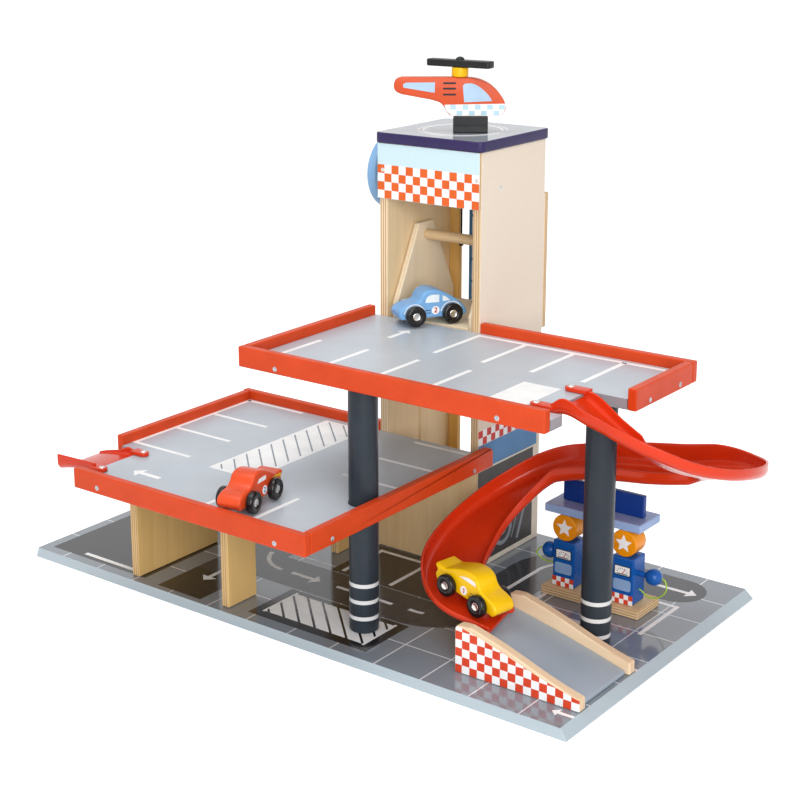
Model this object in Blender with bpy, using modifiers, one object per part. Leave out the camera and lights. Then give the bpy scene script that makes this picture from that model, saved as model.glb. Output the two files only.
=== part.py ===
"""Wooden toy garage: two parking decks on a printed base, a lift tower, a moulded slide, a ramp, fuel pumps,
three cars and a helicopter. Metres, +Z up. The origin is the middle of the base's underside, +X runs along the
front of the base, +Y to the back. Sizes below are measured from the front left corner of the base's top."""

import math

import bmesh
import bpy
import numpy as np
from mathutils import Matrix, Vector

# Clearances
GAP = 0.0003  # between pieces that touch
RUNNING = 0.0003  # round an axle or a peg
LIFT_PLAY = 0.0015  # between the lift car and the tower's sides

# Stock
PLY = 0.009
RAIL_THICK = 0.008
RAIL_HEIGHT = 0.0187
RAIL_LIP = 0.0092  # rail above the deck's top
HEADER_THICK = 0.003
BOARD_THICK = 0.006
EDGE_ROUND = 0.0009
RAIL_ROUND = 0.0012

# Base board
BASE_LENGTH = 0.600
BASE_WIDTH = 0.330
BASE_FLARE = 0.007
BASE_CLIP = 0.012

# Lower deck
LOWER_TOP = 0.1269
LOWER_X0 = 0.095
LOWER_X1 = 0.3862
LOWER_NOTCH_X = 0.1234
LOWER_NOTCH_Y = 0.030
LOWER_Y0 = -0.0505
RAIL_END_ROUND = 0.006

# Upper deck
UPPER_TOP = 0.2434
UPPER_X0 = 0.2596
UPPER_X1 = 0.5848
UPPER_NOSE_X = 0.565
UPPER_Y0 = 0.0334
SLIDE_NOTCH_DEPTH = 0.015
NOTCH_CLEAR = 0.0055

# Pillars
PILLAR_RADIUS = 0.013
PILLAR_FOOT_ROUND = 0.0015
PILLAR_LEFT = (0.3705, 0.0498)
PILLAR_RIGHT = (0.5502, 0.1398)
PILLAR_HOLE_CLEAR = 0.0006

# Walls under the lower deck
BAY_WALL_X = 0.1332
BAY_WALL_Y = (0.0083, 0.1187)
ARCH_WALL_X = 0.2482
ARCH_WALL_Y = (0.0077, 0.2049)
ARCH_LEG = 0.0388
ARCH_CROWN = 0.016  # land above the arch
ARCH_ROUND = 0.030

# Tower
TOWER_X0 = 0.264
TOWER_WIDTH = 0.1145
TOWER_MARGIN = 0.0064  # base behind the tower
TOWER_DEPTH = 0.1087
TOWER_TOP = 0.410
HEADER_HEIGHT = 0.052
STILE_WIDTH = 0.0167
STILE_THICK = 0.006
BACK_BOARD_X0 = 0.2985
BACK_BOARD_Z0 = 0.2254
ROOF_THICK = 0.0097
ROOF_OVERHANG = 0.0028
ROOF_ROUND = 0.006
GROOVE_WIDTH = 0.003
GROOVE_DEPTH = 0.0015

# Winding disc and its axle
WIND_DROP = 0.036  # axle below the tower's top
DISC_RADIUS = 0.036
DISC_THICK = 0.010
DISC_OUT = 0.029  # outer face from the tower's side
AXLE_RADIUS = 0.005
AXLE_SEAT = 0.005  # depth of the blind hole in the right panel

# Lift car, at the upper deck
LIFT_PLATE = 0.006
LIFT_INSET = 0.0052  # from the tower's front to the car
LIFT_FOOT = 0.0955
LIFT_HEAD = 0.024
LIFT_SHOULDER = 0.0206  # height of the upright edge at the foot
LIFT_HANG = 0.046  # top of the lift car below the axle
LIFT_BAR_RADIUS = 0.005
LIFT_BAR_DROP = 0.012
LIFT_FLOOR_RISE = 0.0006
STRING_RADIUS = 0.0006

# Slide
LANE_HALF = 0.0276
LANE_WALL = 0.0022
SLIDE_WALL = 0.020  # height the shares of the two walls are taken of
LANE_START_Y = 0.0837
BEND_FRONT_X = 0.6031
BEND_FRONT_REACH = 0.051
BACK_RUN_Y = 0.219
BEND_LOW_X = 0.4731
BEND_LOW_REACH = 0.0575
LANE_CURVE_OUT = 0.009
LANE_CURVE_IN = 0.006
LANE_SINK = 0.0022  # lane below the deck at its start
LANE_TONGUE = 0.0175  # floor past the ramp's edge
LANE_STEPS = 72
SPLIT_SHARE = 0.40
TAB_WIDTH = 0.010
TAB_LENGTH = 0.022
TAB_THICK = 0.0035
CHUTE_LENGTH = 0.050
CHUTE_DROP = 0.007
CHUTE_Y = -0.005
CHUTE_WALL = 0.0085

# Ramp
RAMP_Y0 = 0.0295
RAMP_INNER = 0.0715
RAMP_X0 = 0.4806
RAMP_HIGH = 0.0523
RAMP_LOW = 0.0202
RAMP_ROUND = 0.005
RAMP_BOARD_HIGH = 0.0408
RAMP_BOARD_LOW = 0.0128
RAMP_BOARD_X0 = 0.4846

# Fuel pumps
PUMP_BASE_X = (0.454, 0.554)
PUMP_BASE_Y = (0.208, 0.248)
PUMP_BASE_THICK = 0.0085
PUMP_WIDTH = 0.0225
PUMP_DEPTH = 0.022
PUMP_HEIGHT = 0.0444
PUMP_FRONT_Y = 0.214
PUMP_X = (0.4735, 0.534)
DIAL_RADIUS = 0.0125
DIAL_DEPTH = 0.019
CANOPY_THICK = 0.008
CANOPY_LENGTH = 0.0975
CANOPY_DEPTH = 0.038
SIGN_LENGTH = 0.082
SIGN_HEIGHT = 0.021
BALL_RADIUS = 0.00775
BALL_OUT = {"left": 0.0088, "right": 0.0144}  # middle of the ball from the pump's side
BALL_Z = 0.0465
PEG_RADIUS = 0.0026
PEG_SEAT = 0.009
HOSE_RADIUS = 0.0007
HOSE_POINTS = 31

# Cars
CAR_LENGTH = 0.075
WHEEL_RADIUS = 0.0098
WHEEL_THICK = 0.0062
WHEELBASE = 0.037
CAR_HALF_WIDTH = 0.0116
CAR_AXLE_RADIUS = 0.0016
WHEEL_CLEAR = 0.0004
CAR_CLEARANCE = 0.0062  # under the body
BLUE_CAR_PLACE = (0.0534, 0.0046)  # from the tower's front left corner
BLUE_CAR_HEADING = 238
RED_CAR_PLACE = (0.1996, 0.0385)  # from the lower deck's front left corner
RED_CAR_HEADING = 281
YELLOW_CAR_PLACE = (-0.03530, 0.00135, 0.0086)  # from the end of the slide's floor
YELLOW_CAR_HEADING = -11
YELLOW_CAR_PITCH = 11

# Helicopter
HELI_XY = (0.3346, 0.2613)
HELI_YAW = math.radians(34)
HELI_THICK = 0.013
STAND_SIZE = (0.032, 0.024, 0.0145)
STAND_GROOVE = 0.0012
MAST_RADIUS = 0.00775
MAST_HEIGHT = 0.0085
MAST_BACK = 0.0101
ROTOR_SIZE = (0.067, 0.012, 0.0065)
ROTOR_YAW = math.radians(4)
PIN_RADIUS = 0.0015

# Worked out from the sizes above
BASE_TOP = PLY
TOWER_Y0 = BASE_WIDTH - TOWER_MARGIN - TOWER_DEPTH
HEADER_BOTTOM = TOWER_TOP - HEADER_HEIGHT
WIND_Z = TOWER_TOP - WIND_DROP
LIFT_TOP = WIND_Z - LIFT_HANG
LOWER_UNDER = LOWER_TOP - PLY
UPPER_UNDER = UPPER_TOP - PLY
TOWER_X1 = TOWER_X0 + TOWER_WIDTH
TOWER_Y1 = TOWER_Y0 + TOWER_DEPTH
DECK_BACK = TOWER_Y0 - GAP
LANE_END_Y = RAMP_Y0 + PLY + RAMP_INNER / 2
LANE_START_X = UPPER_NOSE_X - SLIDE_NOTCH_DEPTH + GAP
LANE_START_Z = UPPER_TOP - LANE_SINK
LANE_END_Z = RAMP_BOARD_HIGH + GAP + LANE_WALL
LANE_END_X = RAMP_BOARD_X0 + LANE_TONGUE
LIFT_FLOOR_TOP = UPPER_TOP + LIFT_FLOOR_RISE
LIFT_Y = TOWER_Y0 + LIFT_INSET + LIFT_FOOT / 2
WIND_Y = LIFT_Y
LIFT_BAR_Z = LIFT_TOP - LIFT_BAR_DROP

COLOURS = {
    "birch": ((0.76, 0.58, 0.38), 0.55),
    "rail_red": ((0.72, 0.085, 0.022), 0.38),
    "slide_red": ((0.75, 0.045, 0.012), 0.22),
    "deck_grey": ((0.33, 0.36, 0.40), 0.40),
    "base_grey": ((0.28, 0.30, 0.33), 0.45),
    "pillar_grey": ((0.06, 0.07, 0.09), 0.42),
    "roof_navy": ((0.035, 0.022, 0.11), 0.35),
    "pale_blue": ((0.60, 0.80, 0.88), 0.40),
    "disc_blue": ((0.22, 0.42, 0.70), 0.35),
    "slat_blue": ((0.10, 0.28, 0.45), 0.40),
    "pump_blue": ((0.010, 0.07, 0.33), 0.30),
    "canopy_blue": ((0.30, 0.43, 0.68), 0.35),
    "sign_blue": ((0.012, 0.03, 0.22), 0.35),
    "dial_yellow": ((0.90, 0.42, 0.02), 0.35),
    "hose_green": ((0.45, 0.72, 0.06), 0.50),
    "car_blue": ((0.20, 0.45, 0.75), 0.30),
    "car_red": ((0.70, 0.08, 0.02), 0.30),
    "car_yellow": ((0.90, 0.62, 0.01), 0.30),
    "wheel_black": ((0.012, 0.011, 0.011), 0.28),
    "black": ((0.01, 0.01, 0.012), 0.35),
    "string": ((0.02, 0.02, 0.02), 0.70),
}


def collection(name, hidden=False):
    """A collection of that name, linked to the scene."""
    made = bpy.data.collections.new(name)
    bpy.context.scene.collection.children.link(made)
    made.hide_render = hidden
    return made


for old in list(bpy.data.objects):
    bpy.data.objects.remove(old)
GARAGE = collection("toy_garage")
CUTTERS = collection("cutters", hidden=True)
HOME = bpy.data.objects.new("home", None)  # carries every piece, which centres the garage on the origin
HOME.location = (-BASE_LENGTH / 2, -BASE_WIDTH / 2, 0)
CUTTERS.objects.link(HOME)


def material(name):
    """The Principled material of that colour, made once."""
    if name in bpy.data.materials:
        return bpy.data.materials[name]
    colour, rough = COLOURS[name]
    made = bpy.data.materials.new(name)
    made.use_nodes = True
    shader = made.node_tree.nodes["Principled BSDF"]
    shader.inputs["Base Color"].default_value = (*colour, 1.0)
    shader.inputs["Roughness"].default_value = rough
    return made


def placed(name, mesh, finish, place=None, smooth=30.0):
    """An object of that mesh in the garage's collection. finish None makes a hidden cutter."""
    obj = bpy.data.objects.new(name, mesh)
    if finish is None:
        CUTTERS.objects.link(obj)
        obj.hide_render = True
        obj.display_type = "WIRE"
    else:
        GARAGE.objects.link(obj)
        mesh.materials.append(material(finish))
        mesh.shade_smooth()
        mesh.set_sharp_from_angle(angle=math.radians(smooth))
    obj.parent = HOME
    if place is not None:
        obj.matrix_basis = place
    return obj


def rounded(obj, width, segments=2, angle=35.0):
    """A Bevel on the sharp edges."""
    if width > 0:
        bevel = obj.modifiers.new("rounding", "BEVEL")
        bevel.width = width
        bevel.segments = segments
        bevel.limit_method = "ANGLE"
        bevel.angle_limit = math.radians(angle)
    return obj


def boolean(obj, other, operation="DIFFERENCE"):
    """Cuts the cutter from the object, or joins it on."""
    cut = obj.modifiers.new(other.name, "BOOLEAN")
    cut.operation = operation
    cut.object = other
    return obj


def box(name, low, high, finish, rounding=EDGE_ROUND, place=None):
    """A block between two corners, with its own origin in its middle."""
    low, high = Vector(low), Vector(high)
    shape = bmesh.new()
    bmesh.ops.create_cube(shape, size=1.0)
    bmesh.ops.scale(shape, vec=high - low, verts=shape.verts)
    mesh = bpy.data.meshes.new(name)
    shape.to_mesh(mesh)
    shape.free()
    middle = Matrix.Translation((low + high) / 2)
    obj = placed(name, mesh, finish, middle if place is None else place @ middle)
    return rounded(obj, rounding if finish else 0)


def rod(name, start, end, radius, finish=None, sides=28):
    """A cylinder from start to end."""
    start, end = Vector(start), Vector(end)
    shape = bmesh.new()
    bmesh.ops.create_cone(
        shape, cap_ends=True, segments=sides, radius1=radius, radius2=radius, depth=(end - start).length
    )
    mesh = bpy.data.meshes.new(name)
    shape.to_mesh(mesh)
    shape.free()
    turn = Vector((0, 0, 1)).rotation_difference(end - start).to_matrix().to_4x4()
    return placed(name, mesh, finish, Matrix.Translation((start + end) / 2) @ turn)


def plane_xz(y):
    """Places a flat outline drawn in x and z, with its thickness along Y, centred on that y."""
    return Matrix.Translation((0, y, 0)) @ Matrix.Rotation(math.pi / 2, 4, "X")


def plane_yz(x):
    """Places a flat outline drawn in y and z, with its thickness along X, centred on that x."""
    return Matrix(((0, 0, 1, x), (1, 0, 0, 0), (0, 1, 0, 0), (0, 0, 0, 1)))


def plane_xy(z):
    """Places a flat outline drawn in x and y, with its thickness along Z, centred on that z."""
    return Matrix.Translation((0, 0, z))


def sheet(name, outline, thick, place, finish, soft=False, resolution=3, holes=()):
    """A flat board cut to an outline: a filled 2D curve with an extrude of half the thickness, made a mesh.
    soft reads the points as a smooth Bezier outline, where a point's third value True keeps it a corner."""
    curve = bpy.data.curves.new(name, "CURVE")
    curve.dimensions = "2D"
    curve.fill_mode = "BOTH"
    curve.extrude = thick / 2
    curve.resolution_u = resolution
    for loop in (outline, *holes):
        spline = curve.splines.new("BEZIER" if soft else "POLY")
        points = spline.bezier_points if soft else spline.points
        points.add(len(loop) - 1)
        for point, place_of in zip(points, loop):
            if soft:
                point.co = (place_of[0], place_of[1], 0)
                kind = "VECTOR" if len(place_of) > 2 and place_of[2] else "AUTO"
                point.handle_left_type = kind
                point.handle_right_type = kind
            else:
                point.co = (place_of[0], place_of[1], 0, 1)
        spline.use_cyclic_u = True
    guide = bpy.data.objects.new(name + "_outline", curve)
    CUTTERS.objects.link(guide)
    guide.matrix_world = place
    bpy.context.view_layer.update()
    graph = bpy.context.evaluated_depsgraph_get()
    mesh = bpy.data.meshes.new_from_object(guide.evaluated_get(graph))
    shape = bmesh.new()
    shape.from_mesh(mesh)
    bmesh.ops.remove_doubles(shape, verts=shape.verts, dist=0.00001)
    bmesh.ops.recalc_face_normals(shape, faces=shape.faces)
    shape.to_mesh(mesh)
    shape.free()
    where = guide.matrix_world.copy()
    bpy.data.objects.remove(guide)
    return placed(name, mesh, finish, where)


def turned(name, profile, place, finish, steps=32):
    """A turned piece: a profile of (radius, height) from top to bottom, swept about its own Z axis by a Screw."""
    mesh = bpy.data.meshes.new(name)
    edges = [(i, i + 1) for i in range(len(profile) - 1)]
    mesh.from_pydata([(radius, 0, height) for radius, height in profile], edges, [])
    obj = placed(name, mesh, finish, place)
    screw = obj.modifiers.new("turning", "SCREW")
    screw.axis = "Z"
    screw.steps = steps
    screw.render_steps = steps
    screw.use_merge_vertices = True
    screw.merge_threshold = 0.00001
    screw.use_smooth_shade = True
    return obj


def arc(cx, cy, radius, start, end, steps=5):
    """Points on a circle from one angle to another, in degrees, both ends included."""
    turns = [math.radians(start + (end - start) * i / steps) for i in range(steps + 1)]
    return [(cx + radius * math.cos(a), cy + radius * math.sin(a)) for a in turns]


def rounded_rectangle(x0, y0, x1, y1, radius):
    """A rectangle's outline with its four corners rounded."""
    return (
        arc(x1 - radius, y1 - radius, radius, 0, 90)
        + arc(x0 + radius, y1 - radius, radius, 90, 180)
        + arc(x0 + radius, y0 + radius, radius, 180, 270)
        + arc(x1 - radius, y0 + radius, radius, 270, 360)
    )


def along_x(x, y, z):
    """Stands a turned piece's own Z axis along +X at a point."""
    return Matrix.Translation((x, y, z)) @ Matrix.Rotation(math.pi / 2, 4, "Y")


def build_base():
    """The base board: a slab with clipped corners whose sides lean out towards the table."""
    clip = BASE_CLIP
    outline = [
        (clip, 0),
        (BASE_LENGTH - clip, 0),
        (BASE_LENGTH, clip),
        (BASE_LENGTH, BASE_WIDTH - clip),
        (BASE_LENGTH - clip, BASE_WIDTH),
        (clip, BASE_WIDTH),
        (0, BASE_WIDTH - clip),
        (0, clip),
    ]
    board = sheet("base_board", outline, BASE_TOP, plane_xy(BASE_TOP / 2), "base_grey")
    middle = Vector((BASE_LENGTH / 2, BASE_WIDTH / 2, 0))
    spread = Vector((1 + 2 * BASE_FLARE / BASE_LENGTH, 1 + 2 * BASE_FLARE / BASE_WIDTH, 1))
    for vertex in board.data.vertices:
        if vertex.co.z < 0:
            vertex.co = (vertex.co - middle) * spread + middle
    return rounded(board, EDGE_ROUND, 1, 30)


def build_rail(name, x, y, top, soft_end=None):
    """A rail between two x and two y, hung on a deck's edge. soft_end rounds the upper corner of its +Y end."""
    bottom = top + RAIL_LIP - RAIL_HEIGHT
    high = top + RAIL_LIP
    if soft_end is None:
        return box(name, (x[0], y[0], bottom), (x[1], y[1], high), "rail_red", RAIL_ROUND)
    outline = [(y[0], high), (y[0], bottom), (y[1], bottom)]
    outline += arc(y[1] - soft_end, high - soft_end, soft_end, 0, 90)
    rail = sheet(name, outline, x[1] - x[0], plane_yz((x[0] + x[1]) / 2), "rail_red")
    return rounded(rail, RAIL_ROUND, 2, 60)


def build_lower_deck():
    """The lower deck with its notch for the exit chute and a hole that the left pillar passes through."""
    outline = [
        (LOWER_NOTCH_X, LOWER_Y0),
        (LOWER_X1, LOWER_Y0),
        (LOWER_X1, DECK_BACK),
        (LOWER_X0, DECK_BACK),
        (LOWER_X0, LOWER_NOTCH_Y),
        (LOWER_NOTCH_X, LOWER_NOTCH_Y),
    ]
    middle = plane_xy(LOWER_TOP - PLY / 2)
    deck = sheet("lower_deck", outline, PLY, middle, "deck_grey")
    x, y = PILLAR_LEFT
    clear = PILLAR_RADIUS + PILLAR_HOLE_CLEAR
    boolean(deck, rod("pillar_hole", (x, y, LOWER_UNDER - PLY), (x, y, LOWER_TOP + PLY), clear, sides=40))
    front = LOWER_Y0 - GAP
    right = LOWER_X1 + GAP
    build_rail("lower_rail_front", (LOWER_NOTCH_X, right + RAIL_THICK), (front - RAIL_THICK, front), LOWER_TOP)
    build_rail(
        "lower_rail_right", (right, right + RAIL_THICK), (front + GAP, TOWER_Y0 + 0.0016), LOWER_TOP, RAIL_END_ROUND
    )
    left = LOWER_X0 - GAP
    back = DECK_BACK + GAP
    build_rail("lower_rail_left", (left - RAIL_THICK, left), (LOWER_NOTCH_Y + 0.0015, back - GAP), LOWER_TOP)
    build_rail(
        "lower_rail_back", (left - RAIL_THICK - 0.002, TOWER_X0 - GAP), (back, back + RAIL_THICK), LOWER_TOP
    )
    return deck


def build_upper_deck():
    """The upper deck, with a notch in its right edge where the slide starts."""
    notch_low = LANE_START_Y - LANE_HALF - NOTCH_CLEAR
    notch_high = LANE_START_Y + LANE_HALF + NOTCH_CLEAR
    notch_x = UPPER_NOSE_X - SLIDE_NOTCH_DEPTH
    outline = [
        (UPPER_X0, UPPER_Y0),
        (UPPER_NOSE_X, UPPER_Y0),
        (UPPER_NOSE_X, notch_low),
        (notch_x, notch_low),
        (notch_x, notch_high),
        (UPPER_X1, notch_high),
        (UPPER_X1, DECK_BACK),
        (UPPER_X0, DECK_BACK),
    ]
    deck = sheet("upper_deck", outline, PLY, plane_xy(UPPER_TOP - PLY / 2), "deck_grey")
    front = UPPER_Y0 - GAP
    left = UPPER_X0 - GAP
    right = UPPER_X1 + GAP
    back = DECK_BACK + GAP
    build_rail("upper_rail_front", (left - RAIL_THICK, UPPER_NOSE_X), (front - RAIL_THICK, front), UPPER_TOP)
    build_rail("upper_rail_left", (left - RAIL_THICK, left), (front + GAP, DECK_BACK), UPPER_TOP)
    build_rail("upper_rail_back", (TOWER_X1 + GAP, right + RAIL_THICK), (back, back + RAIL_THICK), UPPER_TOP)
    build_rail("upper_rail_right", (right, right + RAIL_THICK), (notch_high, back - GAP), UPPER_TOP)
    return deck


def build_pillars():
    """Two turned pillars from the base to the upper deck, with an eased foot."""
    low = BASE_TOP + GAP
    high = UPPER_UNDER - GAP
    ease = PILLAR_FOOT_ROUND
    profile = [
        (0, high),
        (PILLAR_RADIUS, high),
        (PILLAR_RADIUS, low + ease),
        (PILLAR_RADIUS - ease / 3, low + ease / 3),
        (PILLAR_RADIUS - ease, low),
        (0, low),
    ]
    for name, (x, y) in (("pillar_left", PILLAR_LEFT), ("pillar_right", PILLAR_RIGHT)):
        turned(name, profile, Matrix.Translation((x, y, 0)), "pillar_grey", 40)


def build_walls():
    """The plain wall and the arch wall, both from the base to the lower deck."""
    low = BASE_TOP + GAP
    high = LOWER_UNDER - GAP
    box(
        "bay_wall", (BAY_WALL_X - PLY, BAY_WALL_Y[0], low), (BAY_WALL_X, BAY_WALL_Y[1], high), "birch"
    )
    y0, y1 = ARCH_WALL_Y
    crown = high - ARCH_CROWN
    outline = [(y0, high), (y0, low), (y0 + ARCH_LEG, low)]
    outline += arc(y0 + ARCH_LEG + ARCH_ROUND, crown - ARCH_ROUND, ARCH_ROUND, 180, 90, 8)
    outline += arc(y1 - ARCH_LEG - ARCH_ROUND, crown - ARCH_ROUND, ARCH_ROUND, 90, 0, 8)
    outline += [(y1 - ARCH_LEG, low), (y1, low), (y1, high)]
    wall = sheet("arch_wall", outline, PLY, plane_yz(ARCH_WALL_X - PLY / 2), "birch")
    rounded(wall, EDGE_ROUND, 1, 60)


def build_tower():
    """The lift tower: two side panels, a closed front below the lower deck, a back stile, a board at the back
    of the upper floor, a header over the upper opening, and the roof."""
    low = BASE_TOP + GAP
    side_y = (TOWER_Y0, TOWER_Y1)
    left = box("tower_side_left", (TOWER_X0, side_y[0], low), (TOWER_X0 + PLY, side_y[1], TOWER_TOP), "birch")
    right = box("tower_side_right", (TOWER_X1 - PLY, side_y[0], low), (TOWER_X1, side_y[1], TOWER_TOP), "birch")
    hole = rod(
        "axle_hole",
        (TOWER_X0 - PLY, WIND_Y, WIND_Z),
        (TOWER_X1 - PLY + AXLE_SEAT + GAP, WIND_Y, WIND_Z),
        AXLE_RADIUS + RUNNING,
    )
    boolean(left, hole)
    boolean(right, hole)
    groove = box(
        "guide_groove",
        (TOWER_X0 + PLY - GROOVE_DEPTH, WIND_Y - GROOVE_WIDTH / 2, low - PLY),
        (TOWER_X0 + 2 * PLY, WIND_Y + GROOVE_WIDTH / 2, UPPER_UNDER),
        None,
    )
    boolean(left, groove)
    inner0 = TOWER_X0 + PLY + GAP
    header_y = TOWER_Y0 - GAP
    box(
        "tower_front_panel",
        (TOWER_X0, header_y - HEADER_THICK, low),
        (TOWER_X1, header_y, LOWER_UNDER - GAP),
        "birch",
        0.0004,
    )
    box(
        "tower_back_stile",
        (inner0, TOWER_Y1 - STILE_THICK, low),
        (inner0 + STILE_WIDTH, TOWER_Y1, TOWER_TOP),
        "birch",
    )
    box(
        "tower_back_board",
        (BACK_BOARD_X0, TOWER_Y1 + GAP, BACK_BOARD_Z0),
        (TOWER_X1, TOWER_Y1 + GAP + BOARD_THICK, HEADER_BOTTOM),
        "slat_blue",
    )
    box(
        "tower_header",
        (TOWER_X0, header_y - HEADER_THICK, HEADER_BOTTOM),
        (TOWER_X1, header_y, TOWER_TOP),
        "pale_blue",
        0.0004,
    )
    over = ROOF_OVERHANG
    outline = rounded_rectangle(
        TOWER_X0 - over, header_y - HEADER_THICK - over / 2, TOWER_X1 + over, TOWER_Y1 + over, ROOF_ROUND
    )
    roof_z = TOWER_TOP + GAP + ROOF_THICK / 2
    roof = sheet("tower_roof", outline, ROOF_THICK, plane_xy(roof_z), "roof_navy")
    rounded(roof, EDGE_ROUND, 2, 60)


def build_winder():
    """The disc outside the tower and the axle that it turns, on which the string winds."""
    outer = TOWER_X0 - DISC_OUT
    inner = outer + DISC_THICK
    ease = 0.0015
    profile = [
        (0, DISC_THICK),
        (DISC_RADIUS - ease, DISC_THICK),
        (DISC_RADIUS - ease / 3, DISC_THICK - ease / 3),
        (DISC_RADIUS, DISC_THICK - ease),
        (DISC_RADIUS, ease),
        (DISC_RADIUS - ease / 3, ease / 3),
        (DISC_RADIUS - ease, 0),
        (0, 0),
    ]
    turned("winding_disc", profile, along_x(outer, WIND_Y, WIND_Z), "disc_blue", 48)
    end = TOWER_X1 - PLY + AXLE_SEAT
    length = end - inner - GAP
    profile = [(0, length), (AXLE_RADIUS, length), (AXLE_RADIUS, 0), (0, 0)]
    turned("winding_axle", profile, along_x(inner + GAP, WIND_Y, WIND_Z), "birch", 28)


def build_lift():
    """The lift car at the upper deck: a floor between two tapered plates, a bar to lift it by, and the string."""
    plate0 = TOWER_X0 + PLY + LIFT_PLAY
    plate1 = TOWER_X1 - PLY - LIFT_PLAY
    bottom = LIFT_FLOOR_TOP - PLY
    foot = LIFT_FOOT / 2
    head = LIFT_HEAD / 2
    outline = [
        (LIFT_Y - foot, bottom),
        (LIFT_Y + foot, bottom),
        (LIFT_Y + foot, bottom + LIFT_SHOULDER),
        (LIFT_Y + head, LIFT_TOP),
        (LIFT_Y - head, LIFT_TOP),
        (LIFT_Y - foot, bottom + LIFT_SHOULDER),
    ]
    for name, x in (("lift_side_left", plate0 + LIFT_PLATE / 2), ("lift_side_right", plate1 - LIFT_PLATE / 2)):
        rounded(sheet(name, outline, LIFT_PLATE, plane_yz(x), "birch"), EDGE_ROUND, 1, 20)
    inner0 = plate0 + LIFT_PLATE + GAP
    inner1 = plate1 - LIFT_PLATE - GAP
    box("lift_floor", (inner0, LIFT_Y - foot, bottom), (inner1, LIFT_Y + foot, LIFT_FLOOR_TOP), "birch")
    length = inner1 - inner0
    profile = [(0, length), (LIFT_BAR_RADIUS, length), (LIFT_BAR_RADIUS, 0), (0, 0)]
    turned("lift_bar", profile, along_x(inner0, WIND_Y, LIFT_BAR_Z), "birch", 24)
    low = LIFT_BAR_Z + LIFT_BAR_RADIUS + GAP
    high = WIND_Z - AXLE_RADIUS - GAP
    middle = (inner0 + inner1) / 2
    cord("lift_string", [(middle, WIND_Y, low), (middle, WIND_Y, high)], STRING_RADIUS, "string")


def cord(name, points, radius, finish):
    """A round cord along its points."""
    curve = bpy.data.curves.new(name, "CURVE")
    curve.dimensions = "3D"
    curve.bevel_depth = radius
    curve.bevel_resolution = 2
    curve.use_fill_caps = True
    spline = curve.splines.new("POLY")
    spline.points.add(len(points) - 1)
    for point, place in zip(spline.points, points):
        point.co = (*place, 1)
    obj = bpy.data.objects.new(name, curve)
    GARAGE.objects.link(obj)
    obj.parent = HOME
    curve.materials.append(material(finish))
    return obj


def smooth_between(knots, share):
    """A smooth height at that share of the way, through knots of (share, height): cubic pieces whose slopes are
    those of the chords to the knots on both sides."""
    xs = np.array([knot[0] for knot in knots])
    ys = np.array([knot[1] for knot in knots])
    slopes = np.gradient(ys, xs)
    i = int(np.clip(np.searchsorted(xs, share) - 1, 0, len(xs) - 2))
    step = xs[i + 1] - xs[i]
    t = (share - xs[i]) / step
    start = (1 + 2 * t) * (1 - t) ** 2 * ys[i] + t * (1 - t) ** 2 * step * slopes[i]
    return start + t * t * (3 - 2 * t) * ys[i + 1] + t * t * (t - 1) * step * slopes[i + 1]


def lane_plan():
    """The slide's centre line seen from above, evenly spaced: straight out of the deck, round the front bend,
    back behind the right pillar, round the low bend, and straight onto the ramp."""
    turn = np.linspace(-math.pi / 2, math.pi / 2, 90)
    near = (BACK_RUN_Y - LANE_START_Y) / 2
    far = (BACK_RUN_Y - LANE_END_Y) / 2
    line = np.linspace(0, 1, 30)[:, None]
    out = np.array([LANE_START_X, LANE_START_Y]) * (1 - line) + np.array([BEND_FRONT_X, LANE_START_Y]) * line
    bend = np.column_stack(
        [BEND_FRONT_X + BEND_FRONT_REACH * np.cos(turn), LANE_START_Y + near + near * np.sin(turn)]
    )
    back = np.array([BEND_FRONT_X, BACK_RUN_Y]) * (1 - line) + np.array([BEND_LOW_X, BACK_RUN_Y]) * line
    low = np.column_stack(
        [BEND_LOW_X - BEND_LOW_REACH * np.cos(turn), LANE_END_Y + far - far * np.sin(turn)]
    )
    end = np.array([BEND_LOW_X, LANE_END_Y]) * (1 - line) + np.array([LANE_END_X, LANE_END_Y]) * line
    way = np.concatenate([out, bend[1:], back[1:], low[1:], end[1:]])
    gone = np.concatenate([[0], np.cumsum(np.linalg.norm(np.diff(way, axis=0), axis=1))])
    even = np.linspace(0, gone[-1], LANE_STEPS + 1)
    return np.column_stack([np.interp(even, gone, way[:, 0]), np.interp(even, gone, way[:, 1])])


# The slide's fall, as shares of its length and of its drop: each half starts steep and runs out gently.
LANE_FALL = ((0, 1), (0.088, 0.848), (0.22, 0.704), (0.44, 0.527), (0.58, 0.450), (0.75, 0.190), (0.88, 0.062), (1, 0))
# Heights of the two walls above the floor, along the slide, as shares of SLIDE_WALL.
OUTER_WALL = ((0, 0.575), (0.06, 1), (0.12, 1.125), (0.4, 1.025), (0.8, 1.025), (0.93, 0.55), (1, 0.225))
INNER_WALL = ((0, 0.575), (0.06, 0.575), (0.12, 0.485), (0.85, 0.485), (0.95, 0.3), (1, 0.225))


def lane_section(outer, inner):
    """The channel's inner face across the lane, from the top of its outer wall to the top of its inner wall,
    as (across, height): upright walls with a rounded corner at the floor."""
    r_out = min(LANE_CURVE_OUT, outer * 0.85)
    r_in = min(LANE_CURVE_IN, inner * 0.85)
    inside = LANE_HALF - LANE_WALL
    section = [(-inside, outer)]
    section += arc(-inside + r_out, r_out, r_out, 180, 270, 4)
    section += arc(inside - r_in, r_in, r_in, 270, 360, 4)
    section += [(inside, inner)]
    return section


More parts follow.
